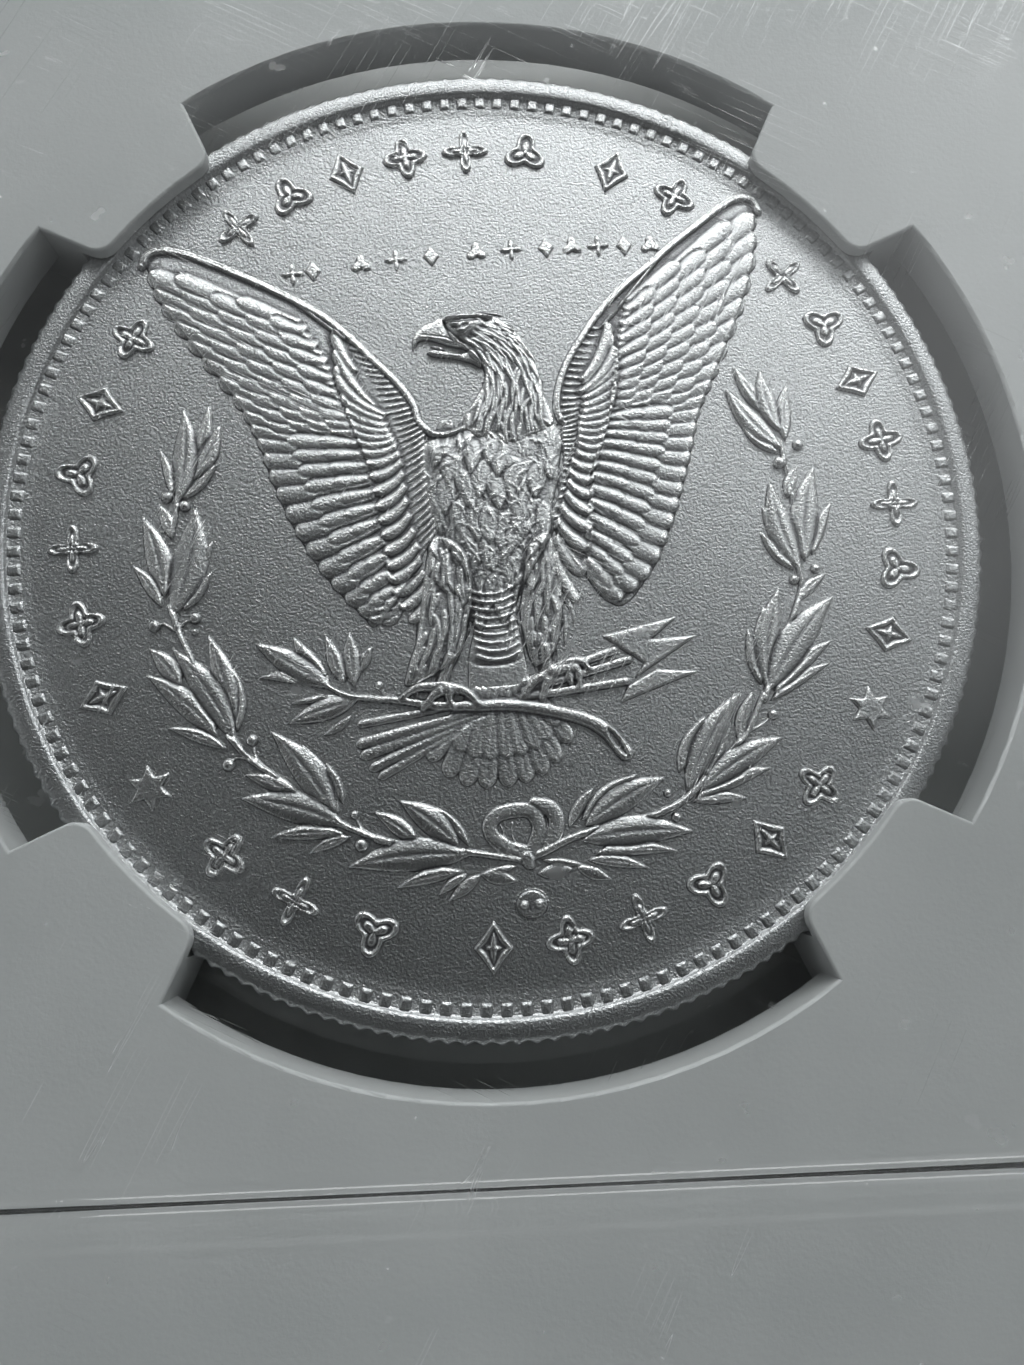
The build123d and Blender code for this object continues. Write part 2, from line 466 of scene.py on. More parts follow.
@dataclass
class Face:
    """One side of the coin: it sets reliefs down on its field and makes them pieces.

    Attributes:
        centre: the coin's centre in metres.
        level: height of the field in metres.
        turn: angle of the design in degrees.
        up: 1 for the side that faces up, -1 for the side that faces down.
        material: the coin's finish.
    """

    centre: tuple[float, float]
    level: float
    turn: float
    up: int
    material: bpy.types.Material

    def place(self, u: np.ndarray, v: np.ndarray, height: np.ndarray) -> np.ndarray:
        """Positions in metres of points given in the coin's millimetres: turned, then set on the field.

        The side that faces down is turned over about the coin's own left-right line.

        Args:
            u: distances to the right.
            v: distances upwards.
            height: heights above the field.

        Returns:
            One row for each point.
        """
        c, s = math.cos(math.radians(self.turn)), math.sin(math.radians(self.turn))
        v = v * self.up
        x = self.centre[0] + (u * c - v * s) * MM
        y = self.centre[1] + (u * s + v * c) * MM
        return np.stack([x, y, self.level + self.up * height * MM], -1).reshape(-1, 3)

    def closed_patch(self, relief: Relief, first: int = 0) -> tuple[np.ndarray, list]:
        """A relief as a closed block: its surface, four sides and a floor inside the coin.

        Args:
            relief: the height field.
            first: number of the first corner.

        Returns:
            Corner positions and faces.
        """
        rows, columns = relief.u.shape
        top = self.place(relief.u, relief.v, relief.height)
        u = np.array([relief.u[0, 0], relief.u[0, -1], relief.u[0, -1], relief.u[0, 0]])
        v = np.array([relief.v[0, 0], relief.v[0, 0], relief.v[-1, 0], relief.v[-1, 0]])
        floor = self.place(u, v, np.full(4, relief.sunk - 0.2))
        a, b, c, d = rows * columns + np.arange(4) + first
        number = first + np.arange(rows * columns).reshape(rows, columns)
        sides = [
            number[0, ::-1].tolist() + [a, b],
            number[::-1, -1].tolist() + [b, c],
            number[-1, :].tolist() + [c, d],
            number[:, 0].tolist() + [d, a],
        ]
        faces = grid_faces(rows, columns, first) + sides + [[d, c, b, a]]
        if self.up < 0:
            faces = [face[::-1] for face in faces]
        return np.vstack([top, floor]), faces

    def piece(self, name: str, reliefs: list[Relief]) -> bpy.types.Object:
        """One piece made of one or more reliefs.

        Args:
            name: the piece's name.
            reliefs: height fields that don't overlap.

        Returns:
            The new object.
        """
        verts, faces, masks = [], [], []
        first = 0
        for relief in reliefs:
            block, block_faces = self.closed_patch(relief, first)
            verts.append(block)
            faces += block_faces
            masks.append(np.append(relief.mask(), np.full(4, PLAIN_METAL)))
            first += len(block)
        return add_mesh(name, np.vstack(verts), faces, COIN_BODY, self.material,
                        np.concatenate(masks))


@dataclass
class Wing:
    """A raised wing: three rows of flight feathers, coverts, a fringe and a leading edge.

    Attributes:
        low: lowest u and v of the patch.
        high: highest u and v.
        flight: matched knots of the feather tips and their roots, from the wing's tip to its inner end.
        coverts: the same for the row of curved coverts.
        fringe: the same for the fine strokes inside the leading edge.
        leading: knots of the leading edge, from the tip to the shoulder.
        side: 1 where the feathers point left, -1 where they point right.
        alula: long curved feathers beside the wrist, as base, tip and bow.
        feathers: number of flight feathers.
        primary_share: share of them that is in lozenges rather than bands.
    """

    low: Point
    high: Point
    flight: list[Pair]
    coverts: list[Pair]
    fringe: list[Pair]
    leading: list[Point]
    side: int
    alula: list[tuple[Point, Point, float]]
    feathers: int = 23
    primary_share: float = 0.44

    def build(self) -> Relief:
        """Height field of the wing, from its underlying swell to the fringe.

        Returns:
            The relief.
        """
        relief = Relief(self.low, self.high)
        tips = [pair[0] for pair in self.flight]
        inner = [pair[1] for pair in self.fringe]
        outline = tips + inner[:4:-1] + self.leading[::-1]
        relief.solid(outline, 0.04, 0.07, 2.6)
        relief.set_ground()
        self.flights(relief)
        relief.set_ground()
        self.small_rows(relief)
        self.edge_band(relief)
        return relief

    def flights(self, relief: Relief) -> None:
        """Flight feathers in rows of decreasing reach, so that each row covers the roots of the last.

        Near the wing's tip the rows are many and stand half a step apart, which makes lozenges; on the
        inner wing three rows run on in the same bands.

        Args:
            relief: the height field that it is laid on.
        """
        full = Profile(rise=0.02, dome=0.085, slope=0.015, lean=0.02 * self.side, edge=0.08)
        short = Profile(rise=0.012, dome=0.085, slope=0.03, lean=0.02 * self.side, edge=0.075)
        spread = pairs_between(self.flight, 2 * self.feathers + 1)
        for tip, root in spread[1::2][::-1]:
            relief.blade(tuple(root), tuple(tip), 0.475, Blade.FEATHER, full, bow=0.08 * self.side)
        split = int(2 * self.feathers * self.primary_share)
        for row, reach in enumerate((0.8, 0.6, 0.4, 0.22)):
            for tip, root in spread[row % 2:split:2][::-1]:
                outer = root + (tip - root) * reach
                inner = root + (tip - root) * max(reach - 0.45, 0)
                half = 0.33 + 0.13 * reach
                relief.blade(tuple(inner), tuple(outer), half, Blade.FEATHER, short, bow=0.05 * self.side)
        for reach in (0.7, 0.4):
            for tip, root in spread[split + 1 - split % 2::2][::-1]:
                slant = np.array([(tip - root)[1], -(tip - root)[0]]) * 0.02 * self.side
                outer = root + (tip - root) * reach + slant
                relief.blade(tuple(root), tuple(outer), 0.25 + 0.17 * reach, Blade.FEATHER, short)

    def small_rows(self, relief: Relief) -> None:
        """Curved coverts, the long feathers of the wrist and the fine fringe.

        Args:
            relief: the height field that it is laid on.
        """
        covert = Profile(rise=0.02, dome=0.09, slope=0.02, lean=0.02 * self.side, edge=0.08)
        for tip, root in pairs_between(self.coverts, 20)[::-1]:
            relief.blade(tuple(root), tuple(tip), 0.3, Blade.FEATHER, covert, bow=0.14 * self.side)
        for root, tip, bow in self.alula:
            relief.blade(root, tip, 0.26, Blade.FEATHER, covert, bow=bow)
        relief.set_ground()
        stroke = Profile(rise=0.0, dome=0.055, slope=0.01, edge=0.07)
        for outer, inner in pairs_between(self.fringe, 32):
            relief.blade(tuple(inner), tuple(outer), 0.115, Blade.STRAND, stroke, bow=0.05 * self.side)

    def edge_band(self, relief: Relief) -> None:
        """Two cords along the leading edge: a broad one outside and a fine one inside it.

        Args:
            relief: the height field that it is laid on.
        """
        relief.tube(self.leading, (0.21, 0.17), rise=0.08, flat=0.45)
        inner = [pair[0] for pair in self.fringe[:3]]
        relief.tube(self.leading[1:6] + inner[:1], (0.05, 0.09), rise=0.1, flat=0.5)


LEFT_WING = Wing(
    low=(-12.9, -3.9),
    high=(-1.7, 12.7),
    flight=[
        ((-12.4, 11.7), (-6.6, 8.8)), ((-11.8, 10.0), (-5.7, 7.0)), ((-10.6, 8.0), (-5.3, 5.4)),
        ((-9.3, 5.9), (-4.95, 4.35)), ((-8.65, 4.3), (-4.75, 3.75)), ((-8.2, 2.5), (-4.45, 2.6)),
        ((-7.5, 0.5), (-4.3, 1.2)), ((-6.5, -1.45), (-4.15, -0.4)), ((-5.35, -2.95), (-3.95, -2.1)),
        ((-4.5, -3.4), (-3.7, -2.8)),
    ],
    coverts=[
        ((-5.35, 6.9), (-4.2, 5.3)), ((-5.2, 5.6), (-3.7, 4.5)), ((-4.95, 4.5), (-3.5, 4.0)),
        ((-4.75, 3.6), (-3.35, 3.6)), ((-4.5, 2.6), (-3.2, 3.0)), ((-4.35, 1.3), (-3.15, 2.1)),
        ((-4.25, 0.1), (-3.1, 0.9)), ((-4.15, -1.2), (-2.9, -0.4)), ((-4.0, -2.3), (-2.75, -1.5)),
        ((-3.5, -3.5), (-2.6, -2.4)),
    ],
    fringe=[
        ((-4.9, 8.0), (-4.45, 7.75)), ((-4.5, 6.95), (-3.75, 6.7)), ((-4.1, 5.95), (-3.2, 5.9)),
        ((-3.8, 5.0), (-2.75, 5.1)), ((-3.5, 4.1), (-2.35, 4.4)), ((-3.35, 3.2), (-2.1, 3.8)),
        ((-3.25, 2.3), (-2.2, 2.9)), ((-3.15, 1.2), (-2.2, 1.9)), ((-3.1, 0.1), (-2.1, 0.9)),
        ((-2.95, -0.8), (-2.0, 0.1)),
    ],
    leading=[
        (-12.5, 11.75), (-12.25, 12.2), (-11.6, 12.35), (-10.4, 11.95), (-8.9, 11.15), (-7.3, 10.2),
        (-5.9, 9.25), (-4.8, 8.2), (-3.9, 7.1), (-3.0, 6.0), (-2.5, 5.1), (-2.35, 4.4), (-1.95, 3.9),
    ],
    side=1,
    alula=[((-4.0, 5.1), (-5.3, 7.6), 0.2), ((-3.6, 4.7), (-5.35, 6.5), 0.25),
           ((-4.6, 6.6), (-5.3, 8.4), 0.12)],
)

RIGHT_WING = Wing(
    low=(1.9, -4.2),
    high=(12.7, 13.0),
    flight=[
        ((12.1, 12.3), (6.3, 8.5)), ((11.75, 10.0), (5.8, 6.9)), ((10.75, 7.6), (5.5, 5.6)),
        ((9.55, 5.4), (5.2, 4.6)), ((8.7, 3.9), (5.0, 3.9)), ((8.15, 2.3), (4.7, 3.1)),
        ((7.55, 0.7), (4.2, 2.1)), ((6.85, -0.9), (3.9, 0.9)), ((5.8, -2.6), (3.6, -0.6)),
        ((4.2, -3.65), (3.4, -2.0)),
    ],
    coverts=[
        ((5.5, 7.3), (4.3, 5.5)), ((5.6, 6.1), (4.1, 4.9)), ((5.4, 5.0), (4.0, 4.3)),
        ((5.1, 4.1), (3.8, 3.8)),
        ((4.8, 3.3), (3.7, 3.3)), ((4.5, 2.5), (3.6, 2.7)), ((4.1, 1.5), (3.2, 2.0)),
        ((3.9, 0.2), (3.0, 1.1)),
        ((3.6, -1.3), (2.5, 0.0)), ((2.9, -3.35), (2.25, -1.3)),
    ],
    fringe=[
        ((5.2, 7.6), (4.75, 7.6)), ((4.7, 6.5), (4.0, 6.6)), ((4.35, 5.6), (3.5, 5.7)),
        ((4.1, 4.7), (3.2, 4.7)),
        ((3.9, 4.0), (3.05, 3.8)), ((3.8, 3.3), (3.0, 3.2)), ((3.6, 2.6), (3.0, 2.6)),
        ((3.3, 1.9), (2.9, 1.9)),
        ((3.0, 1.1), (2.6, 0.9)), ((2.7, -0.1), (2.25, -0.4)),
    ],
    leading=[
        (12.2, 12.0), (12.0, 12.5), (11.4, 12.65), (10.6, 12.3), (9.7, 11.7), (8.5, 10.9), (7.3, 10.0),
        (6.2, 9.2), (5.2, 8.3), (4.3, 7.2), (3.6, 6.2), (3.15, 5.2), (3.0, 4.4), (3.1, 3.9),
    ],
    side=-1,
    alula=[((4.1, 5.4), (5.5, 7.7), -0.2), ((3.9, 4.9), (5.6, 6.7), -0.25)],
)


@dataclass
class EagleBody:
    """Breast, belly, thighs and legs of the bird, between its wings."""

    feather: Profile = Profile(rise=-0.02, dome=0.05, slope=0.05, crease=0.012, edge=0.09)
    barb: Profile = Profile(rise=-0.01, dome=0.025, slope=0.02, edge=0.05)
    hair: Profile = Profile(rise=-0.02, dome=0.06, slope=0.03, edge=0.06)

    def build(self) -> Relief:
        """Height field of the body.

        Returns:
            The relief.
        """
        relief = Relief((-4.2, -7.0), (3.3, 4.4), 0.045)
        relief.solid([(-1.5, -4.9), (0.7, -4.9), (0.9, -7.0), (-1.7, -7.0)], 0.06, 0.05, 1.2, smooth=False)
        relief.solid(
            [(-2.2, 3.55), (-1.5, 3.75), (-0.6, 4.0), (1.0, 4.2), (2.6, 4.0), (3.1, 3.4), (2.85, 1.8),
             (2.45, 0.5), (2.1, -0.9),
             (1.2, -2.2), (0.6, -3.4), (0.6, -5.3), (-1.4, -5.3), (-1.1, -3.6), (-1.2, -2.0), (-1.9, -0.7),
             (-2.35, 0.6), (-2.5, 2.0), (-2.5, 3.2)],
            0.02, 0.19, 2.4)
        self.bars(relief)
        breast = [((-1.6, 4.4), (2.9, 4.3)), ((-2.3, 2.6), (2.9, 2.4)), ((-2.0, 0.6), (2.4, 0.6)),
                  ((-1.25, -1.0), (1.5, -1.0)), ((-0.8, -2.4), (0.6, -2.4))]
        plumage(relief, breast, 10, 7, 1.7, 0.44, Blade.LEAF, self.feather, seed=5, wander=0.2)
        plumage(relief, breast, 15, 11, 0.85, 0.11, Blade.STRAND, self.barb, seed=6, wander=0.25)
        relief.tube([(-2.1, 4.0), (-1.8, 3.78), (-1.3, 3.75), (-0.8, 3.9), (-0.3, 4.1)], (0.17, 0.13),
                    rise=0.06)
        left = [((-2.3, -0.3), (-1.2, -0.9)), ((-2.9, -2.0), (-1.0, -2.5)), ((-3.3, -4.0), (-1.3, -3.8)),
                ((-3.9, -5.9), (-1.9, -5.1))]
        right = [((1.3, -0.9), (2.2, -0.6)), ((0.9, -2.3), (2.4, -2.2)), ((0.6, -3.8), (2.3, -3.8)),
                 ((0.9, -5.6), (1.8, -5.2))]
        for guide, seed in ((left, 11), (right, 12)):
            outline = [pair[0] for pair in guide] + [pair[1] for pair in guide][::-1]
            relief.solid(outline, 0.1, 0.09, 0.9)
            plumage(relief, guide, 8, 5, 1.3, 0.2, Blade.STRAND, self.hair, seed=seed)
        self.legs(relief)
        return relief

    def bars(self, relief: Relief) -> None:
        """Sagging cross bars down the belly, one every 0.31 mm.

        Args:
            relief: the height field that it is laid on.
        """
        for bar in range(9):
            y = -2.65 - 0.31 * bar
            relief.tube([(-1.1, y + 0.1), (-0.6, y - 0.08), (0.0, y - 0.08), (0.5, y + 0.12)], (0.09, 0.06),
                        rise=0.17, flat=0.6)

    def legs(self, relief: Relief) -> None:
        """Two short ringed legs.

        Args:
            relief: the height field that it is laid on.
        """
        for top, foot in (((-2.15, -5.0), (-2.6, -6.2)), ((1.45, -5.0), (1.45, -6.0))):
            relief.tube([top, foot], (0.24, 0.24), rise=0.06, flat=0.6)
            a, b = np.array(top), np.array(foot)
            for ring in np.linspace(0.15, 0.9, 6):
                mid = a + (b - a) * ring
                relief.tube([(mid[0] - 0.24, mid[1] - 0.05), (mid[0] + 0.24, mid[1] + 0.05)], (0.05, 0.05),
                            rise=0.16, flat=0.8)


@dataclass
class EagleHead:
    """Head and neck of the bird, seen from the side with an open beak."""

    hair: Profile = Profile(rise=-0.02, dome=0.055, slope=0.035, edge=0.05)

    def build(self) -> Relief:
        """Height field of the head, on a finer grid.

        Returns:
            The relief.
        """
        relief = Relief((-2.6, 2.7), (3.3, 9.0), 0.032)
        self.neck(relief)
        self.skull(relief)
        self.beak(relief)
        self.eye(relief)
        return relief

    def neck(self, relief: Relief) -> None:
        """Skull and neck as one swell, with strands that sweep from the brow back and down to the collar.

        Args:
            relief: the height field that it is laid on.
        """
        relief.solid(
            [(-1.0, 8.35), (-0.75, 8.6), (-0.2, 8.68), (0.5, 8.62), (1.1, 8.42), (1.6, 8.05), (2.0, 7.5),
             (2.35, 6.8), (2.55, 6.0), (2.65, 5.0), (2.9, 3.9), (2.6, 3.55), (1.9, 3.3), (0.9, 3.0),
             (0.2, 3.3),
             (-0.4, 3.55), (-0.75, 4.1), (-0.3, 4.9), (0.2, 5.6), (0.35, 6.2), (0.15, 6.5), (-0.1, 6.75),
             (-0.3, 7.1), (-0.75, 7.5)],
            0.12, 0.11, 0.9, edge=0.09)
        guide = [((-0.6, 7.75), (0.3, 8.55)), ((0.0, 7.1), (1.35, 8.15)), ((0.3, 6.5), (2.0, 7.3)),
                 ((0.35, 5.9), (2.4, 6.3)), ((0.05, 5.2), (2.6, 5.3)), ((-0.4, 4.5), (2.75, 4.4)),
                 ((-0.75, 3.7), (2.95, 3.6)), ((-0.3, 2.9), (3.1, 3.1))]
        plumage(relief, guide, 14, 9, 1.15, 0.155, Blade.STRAND, self.hair, seed=21, wander=0.09)

    def skull(self, relief: Relief) -> None:
        """Smooth face before the strands, and the long brow with the shade under it.

        Args:
            relief: the height field that it is laid on.
        """
        relief.solid(
            [(-1.05, 8.3), (-0.7, 8.5), (0.1, 8.5), (0.6, 8.3), (0.55, 7.95), (0.2, 7.65), (-0.2, 7.4),
             (-0.75, 7.55)],
            0.15, 0.03, 0.7, edge=0.5)
        relief.tube([(-0.95, 8.26), (-0.4, 8.22), (0.2, 8.24), (0.75, 8.2)], (0.05, 0.04), rise=0.05,
                    groove=True)
        relief.tube([(-1.05, 8.42), (-0.5, 8.42), (0.2, 8.44), (0.9, 8.34)], (0.085, 0.06), rise=0.21,
                    flat=0.5)

    def beak(self, relief: Relief) -> None:
        """Hooked upper beak, lower beak and tongue, with the open mouth between them.

        Args:
            relief: the height field that it is laid on.
        """
        relief.solid(
            [(-2.33, 7.25), (-2.32, 7.7), (-2.12, 8.08), (-1.75, 8.32), (-1.45, 8.4), (-1.25, 8.52),
             (-1.02, 8.46), (-0.9, 8.05), (-0.55, 7.55), (-0.15, 7.12), (-0.5, 7.2), (-1.0, 7.38),
             (-1.55, 7.6), (-1.95, 7.64), (-2.15, 7.48)],
            0.12, 0.09, 0.3, edge=0.07)
        relief.solid([(-1.82, 7.16), (-1.5, 7.26), (-1.0, 7.12), (-0.45, 7.0), (-0.05, 7.05), (0.2, 6.75),
                      (0.3, 6.3), (-0.15, 6.55), (-0.8, 6.8), (-1.5, 6.93)], 0.11, 0.07, 0.15, edge=0.07)
        relief.blade((-1.0, 7.2), (-1.75, 7.46), 0.1, Blade.LEAF, Profile(rise=0.06, dome=0.03, edge=0.07))
        relief.tube([(-1.9, 7.86), (-1.4, 7.76), (-0.9, 7.62), (-0.45, 7.35)], (0.03, 0.04), rise=0.03,
                    groove=True)
        relief.pellet((-1.36, 8.2), 0.06, rise=0.18)

    def eye(self, relief: Relief) -> None:
        """Eye under the brow: a hollow, its lower lid and a ball.

        Args:
            relief: the height field that it is laid on.
        """
        relief.tube([(-0.66, 8.02), (-0.4, 8.0), (-0.12, 8.06)], (0.11, 0.1), rise=0.03, groove=True)
        relief.tube([(-0.78, 8.04), (-0.58, 7.86), (-0.36, 7.8), (-0.14, 7.88), (0.02, 8.06)], (0.04, 0.04),
                    rise=0.2, flat=0.6)
        relief.pellet((-0.4, 8.03), 0.12, rise=0.13)


@dataclass
class BranchAndArrows:
    """Tail fan, arrows, claws and the olive branch across the foot of the bird."""

    leaf: Profile = Profile(rise=0.06, dome=0.11, crease=0.03, edge=0.08)
    shaft: Profile = Profile(rise=0.06, dome=0.05)

    def build(self) -> Relief:
        """Height field, laid from the tail forwards to the branch.

        Returns:
            The relief.
        """
        relief = Relief((-9.6, -10.4), (7.7, -3.3), 0.052)
        self.tail(relief)
        self.arrows(relief)
        self.leaves(relief)
        relief.tube([(-7.0, -5.35), (-6.1, -5.95), (-5.2, -6.18), (-4.0, -6.4), (-2.9, -6.68),
                     (-1.4, -6.88),
                     (0.0, -7.0), (1.5, -7.38), (2.7, -7.85), (3.35, -8.35), (3.95, -9.2)], (0.12, 0.34),
                    rise=0.1, flat=0.55)
        self.claws(relief)
        relief.blade((3.35, -8.15), (4.02, -9.45), 0.2, Blade.LEAF, Profile(rise=0.17, dome=-0.03))
        return relief

    def tail(self, relief: Relief) -> None:
        """Fan of broad tail feathers, each creased along its middle.

        Args:
            relief: the height field that it is laid on.
        """
        guide = [((-3.3, -8.7), (-1.1, -6.2)), ((-2.5, -9.55), (-0.8, -6.2)), ((-1.6, -9.9), (-0.5, -6.2)),
                 ((-0.5, -10.0), (-0.3, -6.2)), ((0.45, -9.85), (0.0, -6.2)), ((1.25, -9.45), (0.3, -6.2)),
                 ((2.0, -8.6), (0.5, -6.2))]
        for reach, rise in ((1.0, 0.07), (0.72, 0.09)):
            for index, (tip, root) in enumerate(pairs_between(guide, 9)):
                outer = root + (tip - root) * reach
                shape = Profile(rise=rise, dome=0.04, slope=0.02, crease=0.02, lean=0.01 * (-1) ** index)
                relief.blade(tuple(root), tuple(outer), 0.42, Blade.FEATHER, shape)

    def arrows(self, relief: Relief) -> None:
        """Three arrows: heads at the right, shafts in the claw, flights at the left.

        Args:
            relief: the height field that it is laid on.
        """
        heads = (
            [(3.5, -4.7), (6.75, -4.2), (5.9, -4.85), (4.6, -5.65)],
            [(5.5, -6.15), (7.35, -6.45), (3.9, -7.42), (4.3, -6.7)],
            [(3.85, -4.96), (7.4, -5.05), (4.45, -6.65), (5.0, -5.95)],
        )
        for head in heads:
            relief.solid(head, 0.08, 0.03, 0.25, smooth=False)
        for left, right in (((0.5, -6.2), (4.0, -5.35)), ((0.5, -6.5), (4.5, -5.75)),
                            ((0.4, -6.75), (4.3, -6.55))):
            relief.tube([left, right], (0.21, 0.21), rise=0.09, flat=0.6)
        flights = (((-1.3, -6.75), (-5.8, -7.1), 0.22), ((-0.9, -7.0), (-5.9, -7.85), 0.27),
                   ((-1.0, -7.15), (-5.8, -8.3), 0.27), ((-1.6, -7.4), (-5.5, -8.8), 0.26),
                   ((-2.0, -7.7), (-5.2, -9.15), 0.23))
        for index, (base, tip, half) in enumerate(reversed(flights)):
            relief.blade(base, tip, half, Blade.FEATHER, self.shaft)
            if index % 2:
                self.barbs(relief, np.array(base), np.array(tip))

    def barbs(self, relief: Relief, base: np.ndarray, tip: np.ndarray) -> None:
        """Short slanted strokes along the outer half of a flight.

        Args:
            relief: the height field that it is laid on.
            base: the flight's inner end.
            tip: its outer end.
        """
        stroke = Profile(rise=0.13, dome=0.02, edge=0.07)
        for share in np.linspace(0.45, 0.93, 9):
            spot = base + (tip - base) * share
            relief.blade(tuple(spot + (0.1, 0.1)), tuple(spot + (-0.22, -0.12)), 0.07, Blade.STRAND, stroke)

    def leaves(self, relief: Relief) -> None:
        """Olive leaves and a berry at the branch's left end.

        Args:
            relief: the height field that it is laid on.
        """
        for base, tip, half, bow in (
            ((-5.6, -5.2), (-4.95, -4.2), 0.24, 0.0), ((-5.75, -5.7), (-5.75, -3.55), 0.34, 0.0),
            ((-6.1, -5.6), (-6.65, -3.6), 0.3, 0.0), ((-6.6, -5.6), (-7.85, -3.5), 0.34, 0.1),
            ((-6.6, -5.5), (-9.35, -4.98), 0.24, -0.15), ((-6.6, -5.65), (-9.3, -3.65), 0.45, -0.05),
            ((-6.0, -6.05), (-8.3, -6.08), 0.17, -0.06), ((-5.9, -6.7), (-7.15, -7.4), 0.18, 0.08),
            ((-5.6, -6.15), (-8.35, -6.82), 0.4, -0.06),
        ):
            relief.blade(base, tip, 1.15 * half, Blade.LEAF, self.leaf, bow=bow)
        relief.tube([(-4.3, -6.15), (-4.75, -6.0), (-4.9, -5.8)], (0.07, 0.07), rise=0.06)
        relief.pellet((-4.85, -5.72), 0.2, rise=0.05)

    def claws(self, relief: Relief) -> None:
        """Two gripping feet: tapering toes across the branch and the shafts.

        Args:
            relief: the height field that it is laid on.
        """
        toes = (((-2.5, -6.05), (-3.4, -5.98), (-4.0, -6.25)), ((-2.4, -6.1), (-2.9, -6.35), (-3.3, -6.75)),
                ((-2.3, -6.1), (-1.7, -6.3), (-1.25, -6.8)), ((-2.3, -6.15), (-2.3, -6.5), (-2.2, -6.85)),
                ((1.4, -6.0), (0.9, -6.2), (0.45, -6.7)), ((1.5, -6.0), (1.3, -6.4), (1.1, -6.9)),
                ((1.5, -5.95), (2.1, -5.85), (2.25, -6.4)), ((1.6, -5.85), (2.6, -5.6), (3.0, -5.95)),
                ((1.6, -5.9), (2.5, -5.9), (2.55, -6.7)))
        for toe in toes:
            relief.tube(list(toe), (0.27, 0.15), rise=0.2, flat=0.5)


@dataclass
class Sprig:
    """A cluster of wreath leaves with its stems and berries.

    Attributes:
        leaves: base, tip and half width of each leaf, from the back to the front.
        stems: knots and radius of each stem.
        berries: centre and radius of each berry.
        leaf: cross shape of a leaf.
        fullness: how much wider than listed the leaves are cut.
        room: space left round the cluster.
    """

    leaves: list[tuple[Point, Point, float]]
    stems: list[tuple[list[Point], float]] = field(default_factory=list)
    berries: list[tuple[Point, float]] = field(default_factory=list)
    leaf: Profile = Profile(rise=0.055, dome=0.115, crease=0.035, edge=0.08)
    fullness: float = 1.16
    room: float = 0.6

    def build(self) -> Relief:
        """Height field of the sprig, on a patch as large as it needs.

        Returns:
            The relief.
        """
        spots = [p for base, tip, _ in self.leaves for p in (base, tip)]
        spots += [p for knots, _ in self.stems for p in knots] + [p for p, _ in self.berries]
        box = np.array(spots)
        relief = Relief(tuple(box.min(0) - self.room), tuple(box.max(0) + self.room))
        for knots, radius in self.stems:
            relief.tube(knots, (radius * 1.3, radius), rise=0.06, flat=0.8)
        for base, tip, half in self.leaves:
            relief.blade(base, tip, half * self.fullness, Blade.LEAF, self.leaf, bow=self.bend(base, tip))
        for centre, radius in self.berries:
            relief.pellet(centre, radius * 1.15, rise=0.06)
        return relief

    @staticmethod
    def bend(base: Point, tip: Point) -> float:
        """Bow of a leaf: it curves back towards the wreath's own ring, a twentieth of its length.

        Args:
            base: where the leaf grows from.
            tip: its end.

        Returns:
            The bow, mm.
        """
        length = math.dist(base, tip)
        turn = base[0] * (tip[1] - base[1]) - base[1] * (tip[0] - base[0])
        return math.copysign(0.05 * length, turn) * (1 if abs(turn) > 1 else 0.3)


